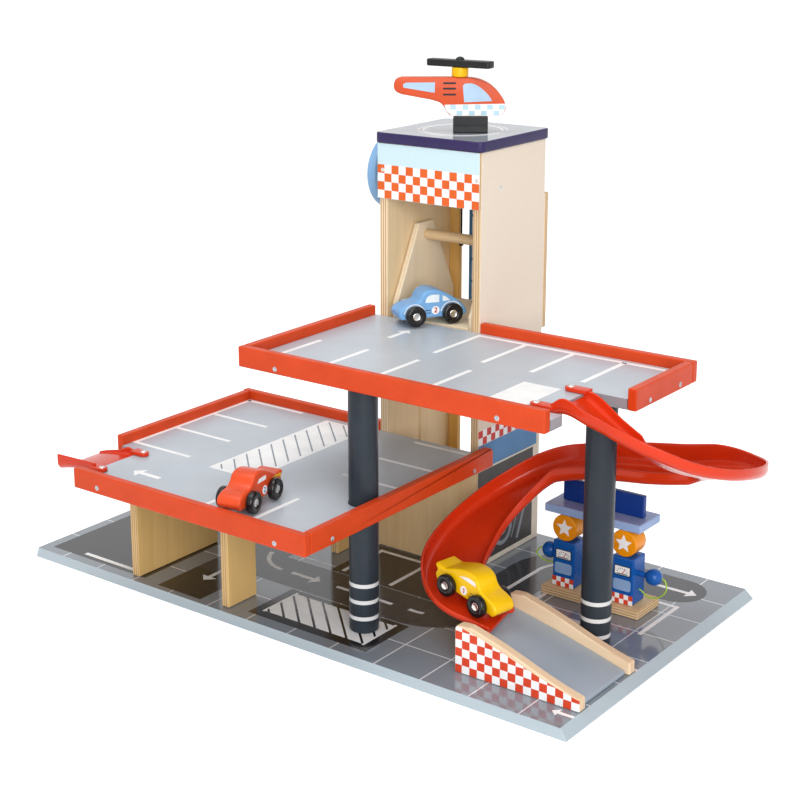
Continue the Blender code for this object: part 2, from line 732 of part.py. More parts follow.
def lane_shell(name, stations, finish="slide_red"):
    """A moulded channel through stations of (x, y, floor height, direction, outer wall, inner wall): an open
    surface lofted between the sections, thickened downwards and outwards."""
    shape = bmesh.new()
    rows = []
    for x, y, z, (dx, dy), outer, inner in stations:
        row = []
        for across, height in lane_section(outer, inner):
            row.append(shape.verts.new((x - across * dy, y + across * dx, z + height)))
        rows.append(row)
    for near, far in zip(rows, rows[1:]):
        for i in range(len(near) - 1):
            shape.faces.new((near[i], far[i], far[i + 1], near[i + 1]))
    mesh = bpy.data.meshes.new(name)
    shape.to_mesh(mesh)
    shape.free()
    shell = placed(name, mesh, finish, smooth=40.0)
    wall = shell.modifiers.new("wall", "SOLIDIFY")
    wall.thickness = LANE_WALL
    wall.offset = 1.0
    wall.use_even_offset = True
    return shell


def tab(name, x, y, z, heading, length=TAB_LENGTH):
    """A flat lug with a round end, lying along a heading in degrees from its point of attachment."""
    half = TAB_WIDTH / 2
    outline = [(0, -half), (length - half, -half)] + arc(length - half, 0, half, -90, 90, 8)[1:] + [(0, half)]
    place = Matrix.Translation((x, y, z + TAB_THICK / 2)) @ Matrix.Rotation(math.radians(heading), 4, "Z")
    return sheet(name, outline, TAB_THICK, place, None)


def build_slide():
    """The slide in its two mouldings, with two lugs on the deck and one on the ramp."""
    plan = lane_plan()
    ways = np.gradient(plan, axis=0)
    ways /= np.linalg.norm(ways, axis=1)[:, None]
    stations = []
    for i, ((x, y), way) in enumerate(zip(plan, ways)):
        share = i / LANE_STEPS
        fall = smooth_between(LANE_FALL, share)
        z = LANE_END_Z + (LANE_START_Z - LANE_END_Z) * fall
        outer_high = SLIDE_WALL * smooth_between(OUTER_WALL, share)
        inner_high = SLIDE_WALL * smooth_between(INNER_WALL, share)
        stations.append((x, y, z, way, outer_high, inner_high))
    split = round(SPLIT_SHARE * LANE_STEPS)
    upper = lane_shell("slide_upper", stations[: split + 1])
    x, y, z, way, outer, inner = stations[split]
    start = (x + way[0] * GAP, y + way[1] * GAP, z, way, outer, inner)
    lower = lane_shell("slide_lower", [start] + stations[split + 1 :])
    reach = 0.004
    tab_z = UPPER_TOP + GAP
    for side, name in ((-1, "slide_tab_front"), (1, "slide_tab_back")):
        lug_y = LANE_START_Y + side * (LANE_HALF - 0.001)
        boolean(upper, tab(name, LANE_START_X + reach, lug_y, tab_z, 180), "UNION")
    low_z = RAMP_BOARD_HIGH + GAP
    lug = tab("slide_tab_low", LANE_END_X - TAB_LENGTH, LANE_END_Y + LANE_HALF - 0.0045, low_z, 0)
    boolean(lower, lug, "UNION")


def build_chute():
    """The short exit chute hooked on the lower deck's notch, a channel like the slide's."""
    stations = []
    steps = 8
    start_x = LOWER_NOTCH_X - GAP
    for i in range(steps + 1):
        share = i / steps
        z = LOWER_TOP - LANE_SINK - CHUTE_DROP * share * share
        wall = CHUTE_WALL - 0.002 * share
        stations.append((start_x - CHUTE_LENGTH * share, CHUTE_Y, z, (-1.0, 0.0), wall, wall))
    chute = lane_shell("exit_chute", stations)
    for side, name in ((-1, "chute_tab_front"), (1, "chute_tab_back")):
        lug_y = CHUTE_Y + side * (LANE_HALF - 0.001)
        boolean(chute, tab(name, start_x - 0.004, lug_y, LOWER_TOP + GAP, 0, 0.018), "UNION")


def ramp_line(share):
    """Height of a ramp cheek's top edge: a straight fall with a slow wave that eases both ends."""
    return RAMP_HIGH + (RAMP_LOW - RAMP_HIGH) * share + 0.0009 * math.sin(2 * math.pi * share)


def build_ramp():
    """Two cheeks with a curved top edge, and the board that runs down between them."""
    low = BASE_TOP + GAP
    shoulder = RAMP_X0 + 0.015
    steps = 14
    outline = [(BASE_LENGTH, low), (BASE_LENGTH, RAMP_LOW)]
    outline += [
        (BASE_LENGTH + (shoulder - BASE_LENGTH) * i / steps, ramp_line(1 - i / steps)) for i in range(1, steps + 1)
    ]
    outline += arc(RAMP_X0 + RAMP_ROUND, RAMP_HIGH - 0.0005 - RAMP_ROUND, RAMP_ROUND, 90, 180, 5)
    outline += [(RAMP_X0, low)]
    y0 = RAMP_Y0
    y1 = RAMP_Y0 + PLY + RAMP_INNER
    for name, y in (("ramp_cheek_front", y0), ("ramp_cheek_back", y1)):
        rounded(sheet(name, outline, PLY, plane_xz(y + PLY / 2), "birch"), EDGE_ROUND, 1, 60)
    steps = 16
    end_x = BASE_LENGTH - 0.004
    top = []
    for i in range(steps + 1):
        share = i / steps
        x = RAMP_BOARD_X0 + (end_x - RAMP_BOARD_X0) * share
        z = RAMP_BOARD_HIGH + (RAMP_BOARD_LOW - RAMP_BOARD_HIGH) * share + 0.0012 * math.sin(math.pi * share)
        top.append((x, z))
    under = [(x, max(z - BOARD_THICK, low)) for x, z in reversed(top)]
    thick = RAMP_INNER - 2 * GAP
    board = sheet("ramp_board", top + under, thick, plane_xz(RAMP_Y0 + PLY + RAMP_INNER / 2), "deck_grey")
    rounded(board, 0.0005, 1, 60)


def nozzle_profile(out):
    """A ball with its peg, from the far side of the ball to the peg's inner end, as (radius, height)."""
    length = out + PEG_SEAT
    neck = math.degrees(math.asin(PEG_RADIUS / BALL_RADIUS))
    ball = arc(0, length, BALL_RADIUS, 90, -90 + neck, 10)
    return [(0, length + BALL_RADIUS)] + ball[1:] + [(PEG_RADIUS, 0), (0, 0)]


def build_pumps():
    """Two pumps on a plinth under one canopy, with a round dial each, a sign board, and nozzles on pegs."""
    z = BASE_TOP + GAP
    low = z + PUMP_BASE_THICK + GAP
    high = low + PUMP_HEIGHT
    box("pump_base", (PUMP_BASE_X[0], PUMP_BASE_Y[0], z), (PUMP_BASE_X[1], PUMP_BASE_Y[1], low - GAP), "birch")
    dial_z = high + GAP + DIAL_RADIUS
    for side, x, where in ((-1, PUMP_X[0], "left"), (1, PUMP_X[1], "right")):
        half = PUMP_WIDTH / 2
        y0 = PUMP_FRONT_Y
        y1 = PUMP_FRONT_Y + PUMP_DEPTH
        middle = (y0 + y1) / 2
        body = box("pump_body_" + where, (x - half, y0, low), (x + half, y1, high), "pump_blue", 0.0016)
        face = x + side * half
        seat = face - side * (PEG_SEAT + GAP)
        boolean(
            body,
            rod("peg_hole_" + where, (seat, middle, BALL_Z), (face + side * 0.004, middle, BALL_Z), PEG_RADIUS + RUNNING),
        )
        turn = Matrix.Rotation(side * math.pi / 2, 4, "Y")
        place = Matrix.Translation((face - side * PEG_SEAT, middle, BALL_Z)) @ turn
        turned("nozzle_" + where, nozzle_profile(BALL_OUT[where]), place, "pump_blue", 24)
        ease = 0.0012
        dial = [
            (0, DIAL_DEPTH),
            (DIAL_RADIUS - ease, DIAL_DEPTH),
            (DIAL_RADIUS, DIAL_DEPTH - ease),
            (DIAL_RADIUS, ease),
            (DIAL_RADIUS - ease, 0),
            (0, 0),
        ]
        lie = Matrix.Translation((x, y0 + 0.0005, dial_z)) @ Matrix.Rotation(-math.pi / 2, 4, "X")
        turned("pump_dial_" + where, dial, lie, "dial_yellow", 36)
    canopy_z = dial_z + DIAL_RADIUS + GAP
    x0 = (PUMP_X[0] + PUMP_X[1]) / 2 - CANOPY_LENGTH / 2 - 0.002
    y0 = PUMP_FRONT_Y - 0.001
    top = canopy_z + CANOPY_THICK
    box("pump_canopy", (x0, y0, canopy_z), (x0 + CANOPY_LENGTH, y0 + CANOPY_DEPTH, top), "canopy_blue", 0.0012)
    sx = x0 + CANOPY_LENGTH / 2 - SIGN_LENGTH / 2 + 0.002
    sy = y0 + CANOPY_DEPTH / 2 - BOARD_THICK / 2
    foot = top + GAP
    box("pump_sign", (sx, sy, foot), (sx + SIGN_LENGTH, sy + BOARD_THICK, foot + SIGN_HEIGHT), "sign_blue", 0.0012)


# Each hose from the far side of its nozzle's ball to the pump, as (out from the pump's side, below the ball).
HOSES = {
    "left": (
        (0.0181, 0.0001),
        (0.0207, 0.0016),
        (0.0234, 0.0056),
        (0.0220, 0.0088),
        (0.0197, 0.0104),
        (0.0158, 0.0118),
        (0.0118, 0.0123),
        (0.0078, 0.0121),
        (0.0038, 0.0115),
        (0.0013, 0.0112),
    ),
    "right": (
        (0.0236, 0.0001),
        (0.0256, 0.0016),
        (0.0268, 0.0050),
        (0.0270, 0.0084),
        (0.0257, 0.0120),
        (0.0226, 0.0158),
        (0.0182, 0.0189),
        (0.0140, 0.0203),
        (0.0098, 0.0202),
        (0.0060, 0.0186),
        (0.0032, 0.0164),
        (0.0013, 0.0154),
    ),
}


def build_hoses():
    """The two hoses, as smooth cords through their chosen points, square to the ball and to the pump."""
    for side, x, where in ((-1, PUMP_X[0], "left"), (1, PUMP_X[1], "right")):
        steps = HOSES[where]
        knots = [(BALL_OUT[where] + BALL_RADIUS + GAP, 0.0), *steps, (GAP, steps[-1][1])]
        shares = np.linspace(0, 1, len(knots))
        outs = [(share, knot[0]) for share, knot in zip(shares, knots)]
        drops = [(share, knot[1]) for share, knot in zip(shares, knots)]
        face = x + side * PUMP_WIDTH / 2
        y = PUMP_FRONT_Y + PUMP_DEPTH / 2
        points = []
        for share in np.linspace(0, 1, HOSE_POINTS):
            points.append((face + side * smooth_between(outs, share), y, BALL_Z - smooth_between(drops, share)))
        cord("hose_" + where, points, HOSE_RADIUS, "hose_green")


# Side outlines of the cars in 75ths of the length: nose at +x, up from the underside.
# True marks a corner, the rest is smooth.
CAR_UNIT = CAR_LENGTH / 75
COUPE = (
    (-34.0, 0.0, True),
    (33.5, 0.0, True),
    (36.8, 4.5),
    (35.6, 9.2),
    (28.0, 13.2),
    (18.5, 14.9),
    (13.8, 16.6),
    (10.2, 23.0),
    (4.0, 26.6),
    (-5.0, 26.0),
    (-15.0, 21.6),
    (-25.0, 15.4),
    (-33.0, 8.8),
    (-36.0, 3.5),
)
RACER = (
    (-34.0, 0.0, True),
    (33.5, 0.0, True),
    (36.8, 5.0),
    (34.3, 10.5),
    (27.0, 13.5),
    (20.0, 14.6),
    (15.5, 17.3),
    (10.5, 23.3),
    (3.5, 25.6),
    (-5.0, 24.6),
    (-14.0, 21.2),
    (-22.0, 17.2),
    (-26.5, 14.9, True),
    (-37.3, 14.8, True),
    (-38.0, 12.5),
    (-35.5, 9.5),
    (-36.6, 5.0),
)


def wheelset_profile():
    """Two wheels on one axle, turned as one piece: (radius, height) from the left wheel's face to the right's."""
    inner = CAR_HALF_WIDTH + WHEEL_CLEAR
    outer = inner + WHEEL_THICK
    ease = 0.0016
    hub = 0.0034
    dish = 0.0010
    half = [
        (0, outer - dish - 0.0004),
        (hub, outer - dish),
        (hub + 0.0012, outer - 0.0003),
        (WHEEL_RADIUS - ease, outer),
        (WHEEL_RADIUS, outer - ease),
        (WHEEL_RADIUS, inner + ease / 2),
        (WHEEL_RADIUS - ease / 2, inner),
        (CAR_AXLE_RADIUS, inner),
    ]
    return half + [(radius, -height) for radius, height in reversed(half)]


def build_car(colour, outline, place):
    """A car: a body cut from a board with two axle holes, and a wheel set in each. place stands its frame,
    nose along +X, on the ground under its middle."""
    body = sheet(
        colour + "_car_body",
        [(p[0] * CAR_UNIT, p[1] * CAR_UNIT + CAR_CLEARANCE, *p[2:]) for p in outline],
        2 * CAR_HALF_WIDTH,
        place @ plane_xz(0),
        "car_" + colour,
        soft=True,
    )
    rounded(body, 0.0022, 2, 60)
    for end, name in ((1, "front"), (-1, "rear")):
        hub = place @ Matrix.Translation((end * WHEELBASE / 2, 0, WHEEL_RADIUS)) @ Matrix.Rotation(math.pi / 2, 4, "X")
        long = Vector((0, 0, 2 * CAR_HALF_WIDTH))
        bore = rod(colour + "_bore_" + name, hub @ -long, hub @ long, CAR_AXLE_RADIUS + RUNNING, sides=16)
        boolean(body, bore)
        turned(colour + "_car_wheels_" + name, wheelset_profile(), hub, "wheel_black", 22)


def stand_on(x, y, z, heading, pitch=0.0):
    """A frame standing at a point, with its +X along a heading in degrees, nose down by the pitch."""
    turn = Matrix.Rotation(math.radians(heading), 4, "Z") @ Matrix.Rotation(math.radians(pitch), 4, "Y")
    return Matrix.Translation((x, y, z + GAP)) @ turn


HELI_OUTLINE = (
    (-0.0172, 0.0000, True),
    (0.0262, 0.0000, True),
    (0.0305, 0.0028),
    (0.0321, 0.0089),
    (0.0305, 0.0140),
    (0.0275, 0.0188),
    (0.0218, 0.0255),
    (0.0138, 0.0312),
    (0.0040, 0.0346),
    (-0.0126, 0.0357, True),
    (-0.0640, 0.0357, True),
    (-0.0690, 0.0335),
    (-0.0708, 0.0288),
    (-0.0694, 0.0235),
    (-0.0640, 0.0204, True),
    (-0.0471, 0.0172),
    (-0.0333, 0.0144),
    (-0.0275, 0.0120),
    (-0.0238, 0.0076),
    (-0.0205, 0.0022),
)


def build_helicopter():
    """The helicopter on the roof: a stand with a groove, a body cut from a board, a mast and its rotor."""
    roof_top = TOWER_TOP + GAP + ROOF_THICK
    frame = Matrix.Translation((*HELI_XY, roof_top + GAP)) @ Matrix.Rotation(HELI_YAW, 4, "Z")
    length, width, height = STAND_SIZE
    stand = box(
        "helicopter_stand", (-length / 2, -width / 2, 0), (length / 2, width / 2, height), "black", 0.0008, frame
    )
    ring = STAND_GROOVE
    middle = height / 2
    for side, name in ((-1, "stand_groove_near"), (1, "stand_groove_far")):
        reach = side * width / 2
        low = min(reach - side * ring, reach + side * 0.004)
        high = max(reach - side * ring, reach + side * 0.004)
        cutter = box(name, (-length, low, middle - ring / 2), (length, high, middle + ring / 2), None, 0, frame)
        boolean(stand, cutter)
    belly = height + GAP
    outline = [(p[0], p[1] + belly, *p[2:]) for p in HELI_OUTLINE]
    body = sheet("helicopter_body", outline, HELI_THICK, frame @ plane_xz(0), "car_red", soft=True)
    rounded(body, 0.0012, 2, 60)
    crest = belly + max(p[1] for p in HELI_OUTLINE)
    boolean(body, box("mast_flat", (-length, -width, crest), (length, width, crest + height), None, 0, frame))
    boolean(body, box("belly_flat", (-length, -width, -height), (length, width, belly), None, 0, frame))
    top = crest + GAP
    mast = frame @ Matrix.Translation((-MAST_BACK, 0, top))
    spin = mast @ Matrix.Translation((0, 0, MAST_HEIGHT + GAP))
    pin_top = MAST_HEIGHT + GAP + ROTOR_SIZE[2] * 0.6
    profile = [
        (0, pin_top),
        (PIN_RADIUS, pin_top),
        (PIN_RADIUS, MAST_HEIGHT),
        (MAST_RADIUS - 0.0008, MAST_HEIGHT),
        (MAST_RADIUS, MAST_HEIGHT - 0.0008),
        (MAST_RADIUS, 0.0008),
        (MAST_RADIUS - 0.0008, 0),
        (0, 0),
    ]
    turned("helicopter_mast", profile, mast, "dial_yellow", 28)
    long, wide, thick = ROTOR_SIZE
    turn = Matrix.Rotation(ROTOR_YAW - HELI_YAW, 4, "Z")
    blade = sheet(
        "helicopter_rotor",
        rounded_rectangle(-long / 2, -wide / 2, long / 2, wide / 2, 0.003),
        thick,
        spin @ turn @ plane_xy(thick / 2),
        "black",
    )
    rounded(blade, 0.0012, 2, 60)
    bore = rod("rotor_bore", spin @ Vector((0, 0, -thick)), spin @ Vector((0, 0, pin_top - MAST_HEIGHT)), PIN_RADIUS + RUNNING)
    boolean(blade, bore)


build_base()
build_lower_deck()
build_upper_deck()
build_pillars()
build_walls()
build_tower()
build_winder()
build_lift()
build_slide()
build_chute()
build_ramp()
build_pumps()
build_hoses()
build_car(
    "blue",
    COUPE,
    stand_on(TOWER_X0 + BLUE_CAR_PLACE[0], TOWER_Y0 + BLUE_CAR_PLACE[1], LIFT_FLOOR_TOP, BLUE_CAR_HEADING),
)
build_car(
    "red",
    RACER,
    stand_on(LOWER_X0 + RED_CAR_PLACE[0], LOWER_Y0 + RED_CAR_PLACE[1], LOWER_TOP, RED_CAR_HEADING),
)
build_car(
    "yellow",
    RACER,
    stand_on(
        LANE_END_X + YELLOW_CAR_PLACE[0],
        LANE_END_Y + YELLOW_CAR_PLACE[1],
        LANE_END_Z + YELLOW_CAR_PLACE[2],
        YELLOW_CAR_HEADING,
        YELLOW_CAR_PITCH,
    ),
)
build_helicopter()
print(len(GARAGE.objects), "pieces")
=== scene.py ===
# %% [markdown]
# # A wooden toy garage
# Birch plywood, painted boards, printed decks, one glossy moulded slide, three cars and a helicopter. The
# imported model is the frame. Its flat boards stay as they are and get a better finish, and the pieces whose
# roundness catches the light are made again here as smooth surfaces in the same places. Sizes are in
# millimetres from the front left corner of the base's top, as a maker would measure them.

import math

import bmesh
import bpy
import numpy as np
from mathutils import Matrix, Vector

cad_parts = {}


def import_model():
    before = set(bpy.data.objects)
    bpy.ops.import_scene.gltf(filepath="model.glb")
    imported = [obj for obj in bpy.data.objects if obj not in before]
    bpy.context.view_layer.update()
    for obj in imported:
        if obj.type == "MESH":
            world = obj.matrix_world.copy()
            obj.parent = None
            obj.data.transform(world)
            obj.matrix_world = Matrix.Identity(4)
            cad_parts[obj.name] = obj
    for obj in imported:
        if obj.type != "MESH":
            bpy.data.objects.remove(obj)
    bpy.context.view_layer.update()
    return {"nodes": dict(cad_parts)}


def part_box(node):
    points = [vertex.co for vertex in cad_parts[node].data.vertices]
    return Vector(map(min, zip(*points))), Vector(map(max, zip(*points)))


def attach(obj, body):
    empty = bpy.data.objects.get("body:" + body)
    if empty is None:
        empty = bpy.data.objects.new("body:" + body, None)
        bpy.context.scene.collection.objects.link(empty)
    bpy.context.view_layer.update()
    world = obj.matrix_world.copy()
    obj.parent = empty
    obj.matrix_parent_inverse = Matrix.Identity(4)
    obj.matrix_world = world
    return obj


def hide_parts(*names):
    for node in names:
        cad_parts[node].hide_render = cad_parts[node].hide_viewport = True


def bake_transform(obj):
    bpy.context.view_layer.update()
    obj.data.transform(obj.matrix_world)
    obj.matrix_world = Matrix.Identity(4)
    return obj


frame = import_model()
NODES = frame["nodes"]
CORNER = np.array([300.0, 165.0, 0.0])
MM = 1000
BASE_Z, LOWER_Z, UPPER_Z, ROOF_Z = 9.0, 126.9, 243.4, 420.0


def world(points):
    """Metres in the frame from millimetres: take the corner's place away, then divide by a thousand."""
    return (np.asarray(points, float) - CORNER) / MM


def world_box(node):
    """A node's lowest and highest corner in millimetres from the corner of the base."""
    return [np.array(corner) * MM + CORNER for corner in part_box(node)]


# %% [markdown]
# ## The camera
# The picture was taken with a long lens from the right and a little above. The camera's direction comes
# from two angles, and a small shift stands for the crop, so the upright edges keep their slant.

# %% Camera
EYE = Vector((0.89007, -1.17329, 0.63872))
LENS, SHIFT = 74.28, (0.0779, -0.1011)
AZIMUTH, ELEVATION, ROLL = (math.radians(a) for a in (38.65, 14.59, -0.56))
level = Vector((math.cos(AZIMUTH), math.sin(AZIMUTH), 0))
look = Vector((-level.y * math.cos(ELEVATION), level.x * math.cos(ELEVATION), -math.sin(ELEVATION)))
upright = level.cross(look)
right = level * math.cos(ROLL) + upright * math.sin(ROLL)
up = upright * math.cos(ROLL) - level * math.sin(ROLL)
lens = bpy.data.cameras.new("camera")
lens.sensor_width = 36
lens.lens = LENS
lens.shift_x, lens.shift_y = SHIFT
lens.clip_start = 0.05
camera = bpy.data.objects.new("camera", lens)
camera.matrix_world = Matrix.Translation(EYE) @ Matrix((right, up, -look)).transposed().to_4x4()
bpy.context.scene.collection.objects.link(camera)
bpy.context.scene.camera = camera
print("camera at", [round(v, 3) for v in EYE])

# %% [markdown]
# ## Tools for surfaces
# Nearly every round piece is a grid of points: one count runs along the piece and the other round it. Numpy
# works out the whole grid at once, and one helper turns it into a mesh, closes its seams and rides it on a
# body.


# %% From a grid to a piece
def grid_faces(rows, columns):
    """Quads between neighbours of a grid: corner (i, j), then (i, j+1), (i+1, j+1) and (i+1, j). The last
    column is joined to the first."""
    i, j = np.meshgrid(np.arange(rows - 1), np.arange(columns), indexing="ij")
    k = (j + 1) % columns
    here, above = i * columns, (i + 1) * columns
    return np.stack([here + j, here + k, above + k, above + j], -1).reshape(-1, 4)


def piece(name, points, faces, finish, body, angle=35.0):
    """A mesh from points and faces that rides on a body. Its doubles are merged and its faces turned
    outwards, and edges sharper than the angle stay crisp."""
    mesh = bpy.data.meshes.new(name)
    mesh.from_pydata(world(points).tolist(), [], [list(map(int, f)) for f in faces])
    shape = bmesh.new()
    shape.from_mesh(mesh)
    bmesh.ops.remove_doubles(shape, verts=shape.verts, dist=1e-6)
    bmesh.ops.dissolve_degenerate(shape, edges=shape.edges, dist=1e-7)
    bmesh.ops.recalc_face_normals(shape, faces=shape.faces)
    shape.to_mesh(mesh)
    shape.free()
    mesh.shade_smooth()
    mesh.set_sharp_from_angle(angle=math.radians(angle))
    obj = bpy.data.objects.new(name, mesh)
    bpy.context.scene.collection.objects.link(obj)
    mesh.materials.append(finish)
    if body:
        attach(obj, body)
    return obj


def frame_of(origin, u, v):
    """A flat place to draw on: its origin in millimetres, its two directions and the way it faces."""
    u, v = np.array(u, float), np.array(v, float)
    return np.array(origin, float), u, v, np.cross(u, v)


def level_place(z):
    """A place to draw on a board that lies flat, at its height over the table."""
    return frame_of((0, 0, z), (1, 0, 0), (0, 1, 0))


def upright_place(x, y, z):
    """A place to draw on a board that stands up and faces the front."""
    return frame_of((x, y, z), (1, 0, 0), (0, 0, 1))


def lay(place, flat, rise=0.0):
    """Points in space: the origin, plus u and v times the two numbers, plus the normal times the rise."""
    origin, u, v, n = place
    flat = np.asarray(flat, float)
    return origin + flat[..., :1] * u + flat[..., 1:2] * v + np.asarray(rise)[..., None] * n


print("surface tools ready")

# %% [markdown]
# ## Finishes
# Paint is never one flat colour: the coat is a shade thicker here and there, it has a faint orange peel,
# and its gloss changes where hands have been. These effects are node groups, built once and placed in each
# material with their own values. Each group puts out only what changes over the surface.


# %% Node helpers
def add(tree, kind, **values):
    """A node of that kind in a tree. Values name its settings, or its inputs where a setting has no such
    name; a socket as a value is linked."""
    node = tree.nodes.new(kind)
    for key, value in values.items():
        label = key.replace("_", " ").title()
        if hasattr(node, key) and key != "height":
            setattr(node, key, value)
            continue
        socket = node.inputs[int(key[1:])] if key[0] == "i" and key[1:].isdigit() else node.inputs[label]
        if isinstance(value, bpy.types.NodeSocket):
            tree.links.new(value, socket)
        else:
            socket.default_value = value
    return node


def maths(tree, what, first, second=0.0, third=0.0):
    """One Math node on up to three values or sockets."""
    return add(tree, "ShaderNodeMath", operation=what, i0=first, i1=second, i2=third).outputs[0]


def mixed(tree, share, low, high):
    """A colour between two colours, by the share."""
    node = tree.nodes.new("ShaderNodeMix")
    node.data_type = "RGBA"
    for slot, value in ((0, share), (6, low), (7, high)):
        if isinstance(value, bpy.types.NodeSocket):
            tree.links.new(value, node.inputs[slot])
        elif slot:
            node.inputs[slot].default_value = (*value, 1.0)
        else:
            node.inputs[slot].default_value = value
    return node.outputs[2]


def effect(name, inputs, outputs):
    """An empty node group with named sockets. Returns its tree, its inputs and its outputs."""
    tree = bpy.data.node_groups.new(name, "ShaderNodeTree")
    kinds = {"v": "NodeSocketVector", "f": "NodeSocketFloat", "c": "NodeSocketColor"}
    for label, kind, value in inputs:
        socket = tree.interface.new_socket(name=label, in_out="INPUT", socket_type=kinds[kind])
        if value is not None:
            socket.default_value = value
    for label, kind in outputs:
        tree.interface.new_socket(name=label, in_out="OUTPUT", socket_type=kinds[kind])
    return tree, tree.nodes.new("NodeGroupInput").outputs, tree.nodes.new("NodeGroupOutput").inputs


print("node helpers ready")


# %% The paint's skin, and scuffs
def paint_skin():
    """Mottle: slow noise, from 0 to 1. Peel: fine noise for the bump, one tenth of it slower waves."""
    tree, given, out = effect(
        "Paint skin", [("Vector", "v", None), ("Size", "f", 1.0)], [("Mottle", "f"), ("Peel", "f")]
    )
    spot = add(
        tree, "ShaderNodeVectorMath", operation="SCALE", i0=given["Vector"], i3=given["Size"]
    ).outputs[0]
    slow = add(tree, "ShaderNodeTexNoise", vector=spot, scale=38.0, detail=4.0, roughness=0.6)
    fine = add(tree, "ShaderNodeTexNoise", vector=spot, scale=900.0, detail=2.0, roughness=0.5)
    wave = add(tree, "ShaderNodeTexNoise", vector=spot, scale=160.0, detail=1.0)
    tree.links.new(
        add(tree, "ShaderNodeMapRange", i0=slow.outputs[0], i1=0.3, i2=0.7).outputs[0], out["Mottle"]
    )
    tree.links.new(maths(tree, "MULTIPLY_ADD", fine.outputs[0], 0.35, wave.outputs[0]), out["Peel"])
    return tree


def scuffs():
    """Rub: thin long noise in two directions, sharpened, so it is 1 only along a few hair lines."""
    tree, given, out = effect("Scuffs", [("Vector", "v", None)], [("Rub", "f")])
    lines = []
    for stretch, turn in (((25.0, 900.0, 300.0), 0.5), ((700.0, 30.0, 400.0), -0.3)):
        shaped = add(
            tree, "ShaderNodeMapping", vector=given["Vector"], rotation=(0.2, 0.1, turn), scale=stretch
        )
        noise = add(tree, "ShaderNodeTexNoise", vector=shaped.outputs[0], scale=1.0, detail=2.0)
        lines.append(add(tree, "ShaderNodeMapRange", i0=noise.outputs[0], i1=0.62, i2=0.75).outputs[0])
    tree.links.new(maths(tree, "MAXIMUM", lines[0], lines[1]), out["Rub"])
    return tree


PAINT_SKIN = paint_skin()
SCUFFS = scuffs()
print("groups:", PAINT_SKIN.name, SCUFFS.name)


# %% A material to start from
def blank(name):
    """A material with a Principled BSDF. Returns it, its tree, the shader, and the Object coordinates."""
    made = bpy.data.materials.new(name)
    made.use_nodes = True
    tree = made.node_tree
    return made, tree, tree.nodes["Principled BSDF"], tree.nodes.new("ShaderNodeTexCoord").outputs["Object"]


def normal_axes(tree):
    """The surface's own normal as three numbers, along the object's axes."""
    return add(
        tree, "ShaderNodeSeparateXYZ", i0=tree.nodes.new("ShaderNodeTexCoord").outputs["Normal"]
    ).outputs


def worn(tree, group, spot, size=None):
    """One of the two groups above in a material, at the Object coordinates and that size of pattern."""
    node = add(tree, "ShaderNodeGroup", node_tree=group)
    tree.links.new(spot, node.inputs[0])
    if size is not None:
        node.inputs[1].default_value = size
    return node


def surface(tree, shader, colour, rough, height, strength=0.1):
    """Feeds colour, roughness and a bump of a fifth of a millimetre into the shader."""
    for value, socket in ((colour, "Base Color"), (rough, "Roughness")):
        tree.links.new(value, shader.inputs[socket])
    bump = add(tree, "ShaderNodeBump", strength=strength, distance=0.0002, height=height)
    tree.links.new(bump.outputs[0], shader.inputs["Normal"])


def sheen(shader, coat, coat_rough, shine):
    """The clear coat's weight and roughness, and how strongly the surface under it shines."""
    shader.inputs["Coat Weight"].default_value = coat
    shader.inputs["Coat Roughness"].default_value = coat_rough
    if shine is not None:
        shader.inputs["Specular IOR Level"].default_value = shine


def between(tree, share, low, high):
    """A number from low to high as the share goes from 0 to 1."""
    return add(tree, "ShaderNodeMapRange", i0=share, i3=low, i4=high).outputs[0]


def shade(colour, by):
    """The colour times a number, held at white."""
    return tuple(min(1.0, c * by) for c in colour)


def painted(name, colour, rough=0.35, coat=0.15, spread=0.07, peel=0.12):
    """Painted wood: the colour a little darker and lighter with the mottle, gloss broken by scuffs."""
    made, tree, shader, spot = blank(name)
    skin, rub = worn(tree, PAINT_SKIN, spot, 1.0), worn(tree, SCUFFS, spot)
    dark = shade(colour, 1 - spread)
    light = tuple(min(1.0, c * (1 + spread) + 0.002) for c in colour)
    tone = mixed(tree, skin.outputs["Mottle"], dark, light)
    even = between(tree, skin.outputs["Mottle"], rough + 0.04, rough - 0.03)
    gloss = maths(tree, "MULTIPLY_ADD", rub.outputs[0], 0.12, even)
    surface(tree, shader, tone, gloss, skin.outputs["Peel"], peel)
    sheen(shader, coat * 0.5, 0.12, 0.22)
    return made


